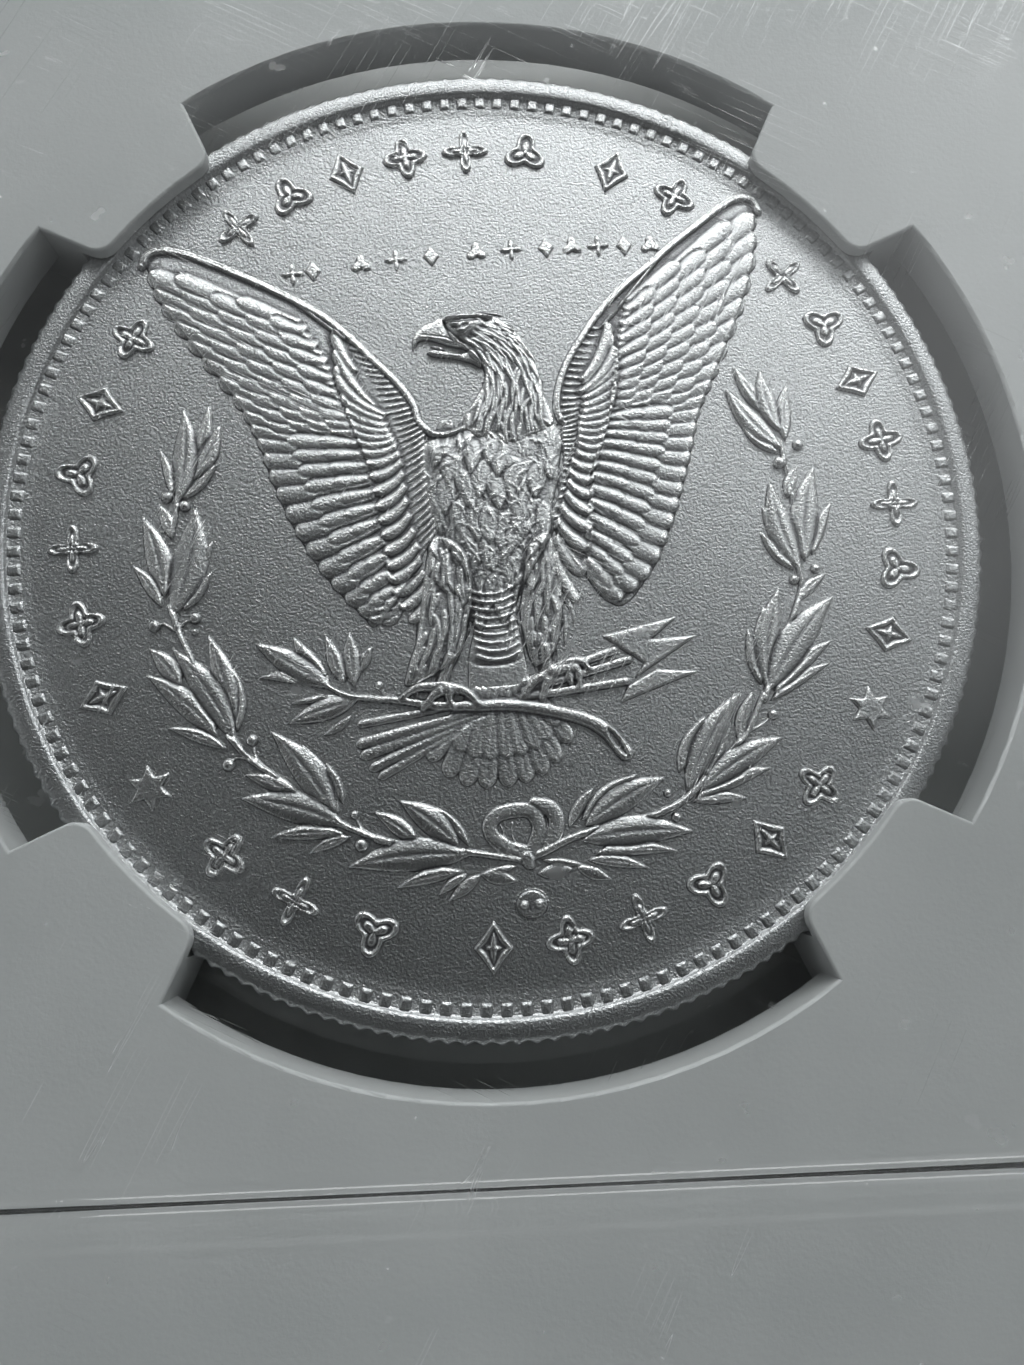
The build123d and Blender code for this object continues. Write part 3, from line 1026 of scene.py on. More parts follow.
WREATH: dict[str, list[Sprig]] = {
    "wreath_left_upper": [
        Sprig([((-11.3, 2.9), (-10.25, 5.9), 0.32), ((-11.2, 2.8), (-9.9, 5.0), 0.36),
               ((-11.9, 2.2), (-12.3, 4.3), 0.2), ((-11.55, 2.1), (-10.1, 3.5), 0.2),
               ((-11.7, 2.0), (-11.25, 5.8), 0.46)],
              [([(-11.7, 2.3), (-11.8, 1.6), (-12.0, 0.8)], 0.12)],
              [((-12.1, 2.25), 0.22), ((-11.45, 1.85), 0.22)]),
        Sprig([((-12.0, 0.6), (-12.45, 2.1), 0.27), ((-12.4, -1.6), (-13.05, 1.65), 0.45),
               ((-12.5, -2.0), (-13.55, -0.2), 0.26), ((-11.75, -1.6), (-10.5, 0.5), 0.22),
               ((-11.8, -2.2), (-10.6, -0.7), 0.2), ((-12.15, -2.3), (-11.05, 1.8), 0.62)],
              [([(-12.2, -2.0), (-11.95, -3.0), (-11.5, -4.2)], 0.14),
               ([(-12.1, -2.9), (-12.5, -2.6), (-12.8, -2.7)], 0.08),
               ([(-12.0, -2.9), (-11.7, -2.6), (-11.4, -2.6)], 0.08)],
              [((-12.85, -2.65), 0.23), ((-11.35, -2.5), 0.22), ((-11.4, -3.0), 0.15)]),
    ],
    "wreath_left_lower": [
        Sprig([((-10.1, -6.9), (-10.1, -4.45), 0.26), ((-10.3, -6.9), (-10.95, -3.1), 0.44),
               ((-12.0, -5.0), (-13.1, -3.45), 0.36), ((-10.5, -7.5), (-12.7, -6.45), 0.25),
               ((-10.8, -7.0), (-13.3, -4.4), 0.42), ((-10.2, -7.2), (-12.3, -3.5), 0.5)],
              [([(-10.4, -7.0), (-9.75, -7.9), (-8.8, -8.7)], 0.15),
               ([(-9.8, -7.9), (-10.2, -7.85), (-10.5, -7.95)], 0.08),
               ([(-9.1, -8.5), (-9.5, -7.9), (-9.6, -7.3)], 0.08)],
              [((-10.5, -8.05), 0.24), ((-9.6, -7.25), 0.22)]),
        Sprig([((-6.5, -10.0), (-7.05, -8.3), 0.2), ((-6.7, -10.3), (-7.9, -7.5), 0.27),
               ((-8.0, -9.5), (-10.05, -8.45), 0.3), ((-6.3, -11.1), (-8.0, -11.6), 0.22),
               ((-6.5, -11.0), (-9.35, -10.85), 0.28), ((-6.8, -10.4), (-8.95, -6.95), 0.52),
               ((-6.5, -10.7), (-10.25, -9.3), 0.52)],
              [([(-8.8, -9.3), (-6.7, -10.6), (-5.0, -11.5)], 0.15),
               ([(-5.2, -11.4), (-5.9, -10.9), (-6.15, -10.4)], 0.08)],
              [((-6.15, -10.35), 0.17), ((-6.0, -11.45), 0.25)]),
        Sprig([((-2.1, -12.0), (-3.25, -10.35), 0.2), ((-3.9, -11.7), (-5.5, -10.3), 0.32),
               ((-2.3, -12.9), (-3.5, -13.6), 0.2), ((-2.4, -12.8), (-5.0, -13.15), 0.27),
               ((-2.5, -11.9), (-4.55, -10.0), 0.46), ((-2.1, -12.25), (-6.65, -12.2), 0.56)],
              [([(-5.4, -11.3), (-4.2, -11.75), (-2.4, -12.1), (-0.4, -12.6)], 0.16)]),
    ],
    "wreath_right_lower": [
        Sprig([((1.5, -11.7), (2.65, -10.3), 0.23), ((2.0, -11.5), (4.35, -10.0), 0.32),
               ((2.0, -12.9), (4.35, -13.5), 0.25), ((2.3, -12.7), (5.5, -13.0), 0.27),
               ((2.1, -11.7), (5.35, -10.25), 0.5), ((1.9, -12.2), (6.15, -12.35), 0.52)],
              [([(0.3, -12.5), (2.0, -11.95), (4.2, -11.7), (5.6, -11.3)], 0.16)],
              [((5.3, -10.85), 0.17), ((5.5, -11.75), 0.2)]),
        Sprig([((5.8, -10.2), (7.15, -8.1), 0.3), ((8.2, -9.3), (9.05, -7.4), 0.28),
               ((6.8, -10.6), (8.25, -8.0), 0.35),
               ((6.1, -11.25), (8.35, -11.4), 0.25), ((6.3, -11.15), (9.35, -10.35), 0.32),
               ((6.5, -10.9), (9.95, -9.25), 0.48), ((6.0, -10.9), (8.6, -7.35), 0.5)],
              [([(5.0, -11.5), (6.1, -11.0), (8.4, -9.1), (9.4, -7.6)], 0.15),
               ([(8.7, -8.9), (9.2, -8.7), (9.6, -8.45)], 0.08)],
              [((9.65, -8.4), 0.21)]),
        Sprig([((11.2, -4.2), (12.6, -3.2), 0.25), ((9.4, -7.3), (9.2, -4.95), 0.22),
               ((9.5, -7.2), (9.95, -4.15), 0.28),
               ((9.6, -7.9), (12.25, -6.65), 0.25), ((9.8, -7.6), (12.4, -5.8), 0.33),
               ((9.55, -7.4), (10.65, -3.5), 0.45), ((9.6, -7.5), (12.7, -4.1), 0.6)],
              [([(9.4, -7.8), (9.9, -6.8), (11.4, -3.9), (11.5, -2.8)], 0.14)],
              [((11.25, -3.35), 0.2), ((12.15, -3.0), 0.2)]),
    ],
    "wreath_right_upper": [
        Sprig([((11.5, -0.1), (12.1, 1.2), 0.27), ((11.3, -2.5), (10.45, -0.25), 0.24),
               ((12.1, -2.5), (13.25, -0.35), 0.26),
               ((11.35, -3.0), (10.2, -1.25), 0.22), ((11.8, -2.7), (12.75, 1.15), 0.52),
               ((11.55, -3.0), (10.9, 0.7), 0.5)],
              [([(11.5, -2.6), (11.7, 0.0), (11.6, 1.6), (11.6, 2.2)], 0.12)],
              [((11.4, 1.35), 0.24), ((12.25, 2.0), 0.22)]),
        Sprig([((11.5, 3.2), (10.15, 5.55), 0.32), ((11.8, 2.2), (12.2, 4.6), 0.32),
               ((11.6, 2.6), (11.2, 5.3), 0.38),
               ((11.5, 1.7), (10.1, 3.0), 0.2), ((11.6, 1.9), (9.7, 4.65), 0.42)]),
    ],
}


@dataclass
class Bow:
    """The ribbon bow that ties the wreath, under the tail."""

    fold: Profile = Profile(rise=0.06, dome=0.05, lean=0.02)
    loop_rise: float = 0.07

    def build(self) -> Relief:
        """Height field: two loops, a knot and two folded ends.

        Returns:
            The relief.
        """
        relief = Relief((-3.7, -14.1), (3.4, -10.2), 0.045)
        for base, tip, half in (((-1.8, -12.95), (-3.2, -13.85), 0.3), ((-0.4, -12.8), (-2.0, -13.0), 0.2),
                                ((-1.9, -12.95), (-0.45, -13.4), 0.33), ((0.3, -12.7), (2.1, -13.1), 0.2),
                                ((1.6, -13.1), (2.95, -13.75), 0.3), ((0.15, -13.2), (1.6, -13.15), 0.33)):
            relief.blade(base, tip, half, Blade.LEAF, self.fold)
        loops = (([(0.1, -12.4), (0.75, -12.1), (1.1, -11.5), (0.95, -10.95), (0.4, -10.75)], 0.36),
                 ([(-0.1, -12.4), (-0.7, -12.2), (-1.25, -11.7), (-1.3, -11.2), (-0.9, -10.9),
                   (-0.1, -10.85),
                   (0.3, -11.05), (0.45, -11.6), (0.15, -12.3)], 0.33))
        for knots, radius in loops:
            relief.tube(knots, (radius, radius), rise=self.loop_rise, flat=0.25)
        for knots in ([(-0.95, -11.3), (-0.75, -11.9), (-0.3, -12.4)],
                      [(-0.5, -11.25), (-0.55, -11.8), (-0.2, -12.3)]):
            relief.tube(knots, (0.07, 0.07), rise=0.1, flat=0.5)
        relief.solid([(-0.35, -12.4), (0.0, -12.3), (0.2, -12.6), (0.15, -13.0), (-0.15, -13.05),
                      (-0.35, -12.8)],
                     0.12, 0.07, 0.25)
        return relief


class Ornament(Enum):
    """Plain marks that stand round the border where a coin carries its legend."""

    LOZENGE = "lozenge"
    ROSETTE = "rosette"
    SPEARS = "spears"
    TREFOIL = "trefoil"

    def radius(self, angle: np.ndarray, size: float) -> np.ndarray:
        """Outline radius at an angle from the mark's own upright.

        Lozenge: one over |cos| / h + |sin| / w. Rosette: four lobes, 0.76 + 0.2 cos(4a). Spears: four
        points, 0.36 + 0.64 |cos(2a)|^3. Trefoil: three lobes, 0.74 + 0.22 cos(3a).

        Args:
            angle: angles from the upright.
            size: half height.

        Returns:
            Radii in the size's unit.
        """
        c, s = np.abs(np.cos(angle)), np.abs(np.sin(angle))
        if self is Ornament.LOZENGE:
            return size / (c + s / 0.78)
        if self is Ornament.ROSETTE:
            return size * (0.76 + 0.2 * np.cos(4 * angle))
        if self is Ornament.SPEARS:
            return size * (0.36 + 0.64 * np.abs(np.cos(2 * angle)) ** 3)
        return size * (0.74 + 0.22 * np.cos(3 * angle))


@dataclass
class Legend:
    """Ring of plain marks in groups, with a star at each side and a small inner row."""

    ring_radius: float = 15.68
    mark_size: float = 1.0
    groups: tuple[tuple[float, float, int], ...] = (
        (199.0, 146.0, 6), (123.5, 78.8, 6), (65.7, 55.6, 2), (35.5, -21.8, 7), (226.0, 248.2, 3),
        (263.9, 314.4, 6),
    )
    star_angles: tuple[float, float] = (212.7, 327.4)
    star_radius: float = 15.88

    def marks(self) -> list[Relief]:
        """One small relief for each mark: a flat-topped outline with a groove inside it.

        Returns:
            The reliefs, in order round the ring.
        """
        kinds = list(Ornament)
        made = []
        for start, stop, count in self.groups:
            for angle in np.linspace(start, stop, count):
                kind = kinds[len(made) % len(kinds)]
                made.append(self.mark(kind, math.radians(angle)))
        return made

    def mark(self, kind: Ornament, angle: float) -> Relief:
        """One mark, upright along the radius at an angle round the coin."""
        u, v = self.ring_radius * math.cos(angle), self.ring_radius * math.sin(angle)
        return self.stamp((u, v), angle, kind, self.mark_size)

    @staticmethod
    def stamp(centre: Point, upright: float, kind: Ornament, size: float, rise: float = 0.13) -> Relief:
        """Relief of one mark: inset = outline radius less distance, with a groove inside the outline.

        Args:
            centre: its place.
            upright: direction of its own upright.
            kind: which mark.
            size: half height.
            rise: height of its top.

        Returns:
            The relief.
        """
        room = size * 1.2
        cell = 0.05 if size > 0.5 else 0.04
        relief = Relief((centre[0] - room, centre[1] - room), (centre[0] + room, centre[1] + room), cell)
        du, dv = relief.u - centre[0], relief.v - centre[1]
        distance = np.hypot(du, dv)
        inset = (kind.radius(np.arctan2(dv, du) - upright, size) - distance) * 0.8
        channel = 0.55 * rise * soft_step((inset - 0.16) / 0.1) * (1 - soft_step((inset - 0.34) / 0.1))
        relief.lay((slice(1, -1),) * 2, inset[1:-1, 1:-1], 0.1, (rise - channel * (size > 0.6))[1:-1, 1:-1])
        return relief

    def stars(self) -> list[Relief]:
        """The two six-pointed stars with crisp flat tops.

        Returns:
            The two reliefs.
        """
        made = []
        for angle in self.star_angles:
            a = math.radians(angle)
            u, v = self.star_radius * math.cos(a), self.star_radius * math.sin(a)
            turns = a + np.pi / 6 * np.arange(12)
            reach = np.where(np.arange(12) % 2, 0.52, 0.98)
            outline = list(zip(u + reach * np.cos(turns), v + reach * np.sin(turns)))
            relief = Relief((u - 1.15, v - 1.15), (u + 1.15, v + 1.15))
            relief.solid(outline, 0.09, 0.02, 0.4, smooth=False)
            made.append(relief)
        return made

    def inner_row(self) -> list[Relief]:
        """A shallow arc of small marks over the head, in four short groups.

        Returns:
            The reliefs, from left to right.
        """
        made = []
        for start, stop, count in ((-6.7, -5.9, 2), (-4.0, -1.2, 3), (0.6, 2.0, 2), (3.4, 7.6, 5)):
            for u in np.linspace(start, stop, count):
                v = 11.25 - 0.006 * (u - 0.5) ** 2
                kind = (Ornament.SPEARS, Ornament.LOZENGE, Ornament.TREFOIL)[len(made) % 3]
                made.append(self.stamp((float(u), float(v)), math.pi / 2, kind, 0.52, rise=0.08))
        return made

    def medallion(self) -> Relief:
        """Small ring with two pellets under the bow.

        Returns:
            The relief.
        """
        relief = Relief((-1.0, -15.1), (0.75, -13.4), 0.04)
        turns = np.linspace(0, 2 * math.pi, 13)
        ring = [(-0.13 + 0.62 * math.cos(a), -14.24 + 0.56 * math.sin(a)) for a in turns]
        relief.solid(ring[:-1], 0.05, 0.0, 0.3)
        relief.tube(ring, (0.06, 0.06), rise=0.06, flat=0.6)
        for u in (-0.4, 0.14):
            relief.pellet((u, -14.24), 0.17, rise=0.05)
        return relief


@dataclass
class Obverse:
    """Design of the side that faces down: a rayed rosette in a ring of leaves, with pellets."""

    rays: int = 36
    leaves: int = 32

    def centre_piece(self) -> Relief:
        """The rosette, the rays and the leaf ring, on a coarser grid.

        Returns:
            The relief.
        """
        relief = Relief((-13.2, -13.2), (13.2, 13.2), 0.09)
        ray = Profile(rise=0.02, dome=0.1, edge=0.12)
        for index, angle in enumerate(np.linspace(0, 2 * math.pi, self.rays, endpoint=False)):
            reach = (9.6, 8.2)[index % 2]
            relief.blade(self.spot(3.0, angle), self.spot(reach, angle), 0.42, Blade.STRAND, ray)
        petal = Profile(rise=0.09, dome=0.1, crease=0.03, edge=0.14)
        for count, reach, half, turn in ((12, 4.6, 0.75, 0.0), (8, 3.1, 0.8, 0.2)):
            for angle in np.linspace(0, 2 * math.pi, count, endpoint=False) + turn:
                relief.blade((0.0, 0.0), self.spot(reach, angle), half, Blade.LEAF, petal)
        relief.pellet((0.0, 0.0), 0.75, rise=0.02)
        leaf = Profile(rise=0.06, dome=0.08, crease=0.03, edge=0.14)
        for index, angle in enumerate(np.linspace(0, 2 * math.pi, self.leaves, endpoint=False)):
            for base, tip in ((11.3, 12.9), (11.2, 10.0)):
                relief.blade(self.spot(base, angle), self.spot(tip, angle + 0.2), 0.42, Blade.LEAF, leaf)
        return relief

    def stars(self) -> list[Relief]:
        """Thirteen small marks round the border."""
        return [Legend.stamp(self.spot(15.7, angle), angle, Ornament.ROSETTE, 0.8)
                for angle in np.linspace(0, 2 * math.pi, 13, endpoint=False) + 0.12]

    @staticmethod
    def spot(radius: float, angle: float) -> Point:
        """Point at a radius and an angle."""
        return radius * math.cos(angle), radius * math.sin(angle)


# ---------------------------------------------------------------- shader parts

@dataclass
class NodeSheet:
    """A node tree with short ways to place and join its nodes."""

    tree: bpy.types.NodeTree

    def put(self, kind: str, inputs: dict | None = None, **settings: object) -> bpy.types.Node:
        """Place a node.

        Args:
            kind: Blender's name of the node.
            inputs: for each input, a socket to link or a value to set.
            **settings: the node's own properties.

        Returns:
            The node.
        """
        node = self.tree.nodes.new(kind)
        for name, value in settings.items():
            setattr(node, name, value)
        for name, value in (inputs or {}).items():
            if isinstance(value, bpy.types.NodeSocket):
                self.tree.links.new(value, node.inputs[name])
            else:
                node.inputs[name].default_value = value
        return node

    def math(self, operation: str, *values: Given, clamp: bool = False) -> bpy.types.NodeSocket:
        """Result of a Math node on one to three values or sockets."""
        return self.put("ShaderNodeMath", dict(enumerate(values)), operation=operation,
                        use_clamp=clamp).outputs[0]

    def mix(self, amount: Given, first: Given, second: Given, blend: str = "MIX") -> bpy.types.NodeSocket:
        """Colour mixed from the first to the second by amount.

        Args:
            amount: share of the second.
            first: the first colour.
            second: the second colour.
            blend: how they are mixed.

        Returns:
            The colour.
        """
        node = self.put("ShaderNodeMix", {0: amount, 6: first, 7: second}, data_type="RGBA",
                        blend_type=blend)
        return node.outputs[2]

    def span(self, value: Given, low: float, high: float, to_low: float,
             to_high: float) -> bpy.types.NodeSocket:
        """Value carried from one span to another, held at its ends."""
        return self.put("ShaderNodeMapRange", {0: value, 1: low, 2: high, 3: to_low, 4: to_high}).outputs[0]

    def noise(self, vector: Given, scale: Given, detail: float = 3.0,
              roughness: float = 0.55) -> bpy.types.NodeSocket:
        """Noise between 0 and 1."""
        return self.put("ShaderNodeTexNoise", {"Vector": vector, "Scale": scale, "Detail": detail,
                                               "Roughness": roughness}).outputs["Fac"]

    def object_coords(self) -> bpy.types.NodeSocket:
        """Object coordinates, in metres."""
        return self.put("ShaderNodeTexCoord").outputs["Object"]


def new_group(name: str, inputs: dict[str, str], outputs: dict[str, str]) -> tuple[NodeSheet, dict, dict]:
    """Start a node group.

    Args:
        name: its name.
        inputs: type of each named input, such as NodeSocketFloat.
        outputs: type of each named output.

    Returns:
        The sheet, the input sockets by name and the inputs of the group's output node.
    """
    tree = bpy.data.node_groups.new(name, "ShaderNodeTree")
    for label, kind in inputs.items():
        tree.interface.new_socket(name=label, in_out="INPUT", socket_type=kind)
    for label, kind in outputs.items():
        tree.interface.new_socket(name=label, in_out="OUTPUT", socket_type=kind)
    sheet = NodeSheet(tree)
    return sheet, sheet.put("NodeGroupInput").outputs, sheet.put("NodeGroupOutput").inputs


class SurfaceMarks:
    """Node groups that several finishes share: fine grain and handling scratches."""

    def __init__(self) -> None:
        """Build both groups once."""
        self.grain = self.make_grain()
        self.scratches = self.make_scratches()

    @staticmethod
    def make_grain() -> bpy.types.NodeTree:
        """Two sizes of noise side by side: fine grain and a broad drift of tone, each between 0 and 1.

        Returns:
            The node group.
        """
        sheet, given, out = new_group("fine_grain",
                                      {"Vector": "NodeSocketVector", "Per Metre": "NodeSocketFloat"},
                                      {"Grain": "NodeSocketFloat", "Drift": "NodeSocketFloat"})
        fine = sheet.noise(given["Vector"], given["Per Metre"], 2.0, 0.6)
        wide = sheet.noise(given["Vector"], sheet.math("MULTIPLY", given["Per Metre"], 0.02), 3.0)
        sheet.tree.links.new(sheet.span(fine, 0.3, 0.7, 0.0, 1.0), out["Grain"])
        sheet.tree.links.new(sheet.span(wide, 0.3, 0.7, 0.0, 1.0), out["Drift"])
        return sheet.tree

    @staticmethod
    def make_scratches() -> bpy.types.NodeTree:
        """Streaks: noise stretched along one way, cut to its thin peaks, broken up by wider noise.

        Returns:
            The node group.
        """
        sheet, given, out = new_group("handling_scratches",
                                      {"Vector": "NodeSocketVector", "Turn": "NodeSocketVector",
                                                             "Stretch": "NodeSocketVector"},
                                      {"Mask": "NodeSocketFloat"})
        turned = sheet.put("ShaderNodeMapping",
                           {"Vector": given["Vector"], "Rotation": given["Turn"]}).outputs[0]
        drawn = sheet.put("ShaderNodeMapping", {"Vector": turned, "Scale": given["Stretch"]}).outputs[0]
        streak = sheet.noise(drawn, 1.0, 1.0, 0.4)
        breaks = sheet.noise(turned, 160.0, 2.0)
        line = sheet.math("SUBTRACT", 1.0, sheet.span(sheet.math("ABSOLUTE",
                                                                 sheet.math("SUBTRACT", streak, 0.52)),
                                                      0.0, 0.006, 0.0, 1.0))
        mask = sheet.math("MULTIPLY", line, sheet.span(breaks, 0.5, 0.62, 0.0, 1.0), clamp=True)
        sheet.tree.links.new(mask, out["Mask"])
        return sheet.tree

    def grain_on(self, sheet: NodeSheet, per_metre: float) -> dict:
        """Place the grain group, with grain of one metre over per_metre, and give its outputs.

        Args:
            sheet: the node tree that it goes into.
            per_metre: fineness of the grain.

        Returns:
            The outputs Grain and Drift.
        """
        node = sheet.put("ShaderNodeGroup", node_tree=self.grain)
        sheet.tree.links.new(sheet.object_coords(), node.inputs["Vector"])
        node.inputs["Per Metre"].default_value = per_metre
        return node.outputs

    def scratches_on(self, sheet: NodeSheet, turn: float, stretch: tuple) -> bpy.types.NodeSocket:
        """Place the scratch group, its streaks turned by an angle in radians, and give its mask.

        Args:
            sheet: the node tree that it goes into.
            turn: angle of the streaks, in radians.
            stretch: scale along each way.

        Returns:
            The mask.
        """
        node = sheet.put("ShaderNodeGroup", node_tree=self.scratches)
        sheet.tree.links.new(sheet.object_coords(), node.inputs["Vector"])
        node.inputs["Turn"].default_value = (0.0, 0.0, turn)
        node.inputs["Stretch"].default_value = stretch
        return node.outputs["Mask"]


def new_material(name: str) -> tuple[bpy.types.Material, NodeSheet, bpy.types.Node]:
    """A material with its Principled node ready.

    Args:
        name: its name.

    Returns:
        The material, the sheet of its nodes and the Principled node.
    """
    material = bpy.data.materials.new(name)
    material.use_nodes = True
    return material, NodeSheet(material.node_tree), material.node_tree.nodes["Principled BSDF"]


@dataclass(frozen=True)
class FrostedSilver:
    """Frosted coin silver: fine grain, smoother on the crests, with a painted highlight that brightens the
    crests and painted shade that darkens the hollows.

    Attributes:
        hollow: its colour where the relief is low, a painted shade.
        plain: its colour on the field.
        crest: its colour where the relief is high, a painted highlight.
        roughness: for the same three.
        grain_per_metre: fineness of its frost.
        grain_depth: depth of its frost, in metres.
        speck: shade of the frost's grains.
        speck_share: how much of it shows.
        warm: shade of the broad drift of tone.
    """

    hollow: tuple = (0.16, 0.16, 0.165, 1.0)
    plain: tuple = (0.58, 0.585, 0.59, 1.0)
    crest: tuple = (0.96, 0.96, 0.955, 1.0)
    roughness: tuple[float, float, float] = (0.42, 0.3, 0.22)
    grain_per_metre: float = 11000.0
    grain_depth: float = 0.000014
    speck: tuple = (0.5, 0.5, 0.51, 1.0)
    speck_share: float = 0.6
    warm: tuple = (0.8, 0.79, 0.77, 1.0)

    def material(self, marks: SurfaceMarks) -> bpy.types.Material:
        """Build the finish.

        Args:
            marks: the shared node groups.

        Returns:
            The material.
        """
        material, sheet, shader = new_material("frosted_silver")
        grain = marks.grain_on(sheet, self.grain_per_metre)
        mask = sheet.put("ShaderNodeAttribute", attribute_name=RELIEF_MASK).outputs["Fac"]
        # up: share of the painted highlight on the crests; down: share of the painted shade in the hollows;
        # both also set the roughness
        up = sheet.span(mask, 0.5, 0.95, 0.0, 1.0)
        down = sheet.span(mask, 0.08, 0.5, 1.0, 0.0)
        # painted highlight on the crests and painted shade in the hollows, mixed into the base colour
        colour = sheet.mix(down, sheet.mix(up, self.plain, self.crest), self.hollow)
        share = sheet.math("MULTIPLY", grain["Grain"], self.speck_share)
        speck = sheet.mix(share, colour, self.speck, "MULTIPLY")
        toned = sheet.mix(sheet.math("MULTIPLY", grain["Drift"], 0.12), speck, self.warm, "MULTIPLY")
        rough = sheet.math("ADD", sheet.span(up, 0, 1, self.roughness[1], self.roughness[2]),
                           sheet.span(down, 0, 1, 0.0, self.roughness[0] - self.roughness[1]))
        rough = sheet.math("ADD", rough, sheet.math("MULTIPLY", grain["Grain"], 0.06))
        scratch = marks.scratches_on(sheet, 0.6, (2200.0, 60.0, 60.0))
        height = sheet.math("SUBTRACT", grain["Grain"], sheet.math("MULTIPLY", scratch, 0.5))
        bump = sheet.put("ShaderNodeBump", {"Strength": 1.0, "Distance": self.grain_depth,
                                            "Height": height})
        sheet.tree.links.new(toned, shader.inputs["Base Color"])
        sheet.tree.links.new(rough, shader.inputs["Roughness"])
        sheet.tree.links.new(bump.outputs[0], shader.inputs["Normal"])
        shader.inputs["Metallic"].default_value = 1.0
        return material


@dataclass(frozen=True)
class ClearPlastic:
    """Clear moulded plastic with light scuffs, hairline scratches and a very faint waviness.

    Attributes:
        tint: its own colour.
        shadow_tint: how much light each of its surfaces lets through into a shadow.
        name: the material's name.
    """

    tint: tuple = (0.97, 0.985, 0.985, 1.0)
    shadow_tint: tuple = (0.93, 0.945, 0.945, 1.0)
    name: str = "clear_plastic"

    def material(self, marks: SurfaceMarks) -> bpy.types.Material:
        """Build the finish: shadow rays pass, dimmed by the shadow tint, so that what is inside gets light.

        Args:
            marks: the shared node groups.

        Returns:
            The material.
        """
        material, sheet, shader = new_material(self.name)
        shader.inputs["Base Color"].default_value = self.tint
        shader.inputs["Transmission Weight"].default_value = 1.0
        shader.inputs["IOR"].default_value = 1.49
        coords = sheet.object_coords()
        scratch = marks.scratches_on(sheet, 0.5, (1500.0, 25.0, 25.0))
        hairline = marks.scratches_on(sheet, -1.1, (2400.0, 40.0, 40.0))
        both = sheet.math("MAXIMUM", scratch, sheet.math("MULTIPLY", hairline, 0.6))
        nicks = sheet.span(sheet.noise(coords, 900.0, 2.0), 0.72, 0.76, 0.0, 1.0)
        marked = sheet.math("MAXIMUM", both, nicks)
        scuff = sheet.span(sheet.noise(coords, 90.0, 5.0, 0.65), 0.5, 0.8, 0.0, 0.07)
        rough = sheet.math("ADD", scuff, sheet.math("MULTIPLY", marked, 0.3))
        wave = sheet.noise(coords, 60.0, 1.0)
        height = sheet.math("SUBTRACT", sheet.math("MULTIPLY", wave, 2.0), marked)
        bump = sheet.put("ShaderNodeBump", {"Strength": 1.0, "Distance": 0.000004, "Height": height})
        sheet.tree.links.new(rough, shader.inputs["Roughness"])
        sheet.tree.links.new(bump.outputs[0], shader.inputs["Normal"])
        clear = sheet.put("ShaderNodeBsdfTransparent", {"Color": self.shadow_tint})
        is_shadow = sheet.put("ShaderNodeLightPath").outputs["Is Shadow Ray"]
        mixed = sheet.put("ShaderNodeMixShader", {0: is_shadow, 1: shader.outputs[0], 2: clear.outputs[0]})
        output = next(node for node in sheet.tree.nodes if node.type == "OUTPUT_MATERIAL")
        sheet.tree.links.new(mixed.outputs[0], output.inputs["Surface"])
        return material


@dataclass(frozen=True)
class SatinWhite:
    """White moulded insert: satin, with a fine grain and faint flow marks."""

    pale: tuple = (0.49, 0.5, 0.5, 1.0)
    deep: tuple = (0.44, 0.45, 0.45, 1.0)

    def material(self, marks: SurfaceMarks) -> bpy.types.Material:
        """Build the finish.

        Args:
            marks: the shared node groups.

        Returns:
            The material.
        """
        material, sheet, shader = new_material("satin_white")
        grain = marks.grain_on(sheet, 5200.0)
        colour = sheet.mix(grain["Drift"], self.pale, self.deep)
        rough = sheet.span(grain["Grain"], 0, 1, 0.4, 0.52)
        bump = sheet.put("ShaderNodeBump", {"Strength": 0.8, "Distance": 0.000004,
                                            "Height": grain["Grain"]})
        sheet.tree.links.new(colour, shader.inputs["Base Color"])
        sheet.tree.links.new(rough, shader.inputs["Roughness"])
        sheet.tree.links.new(bump.outputs[0], shader.inputs["Normal"])
        return material


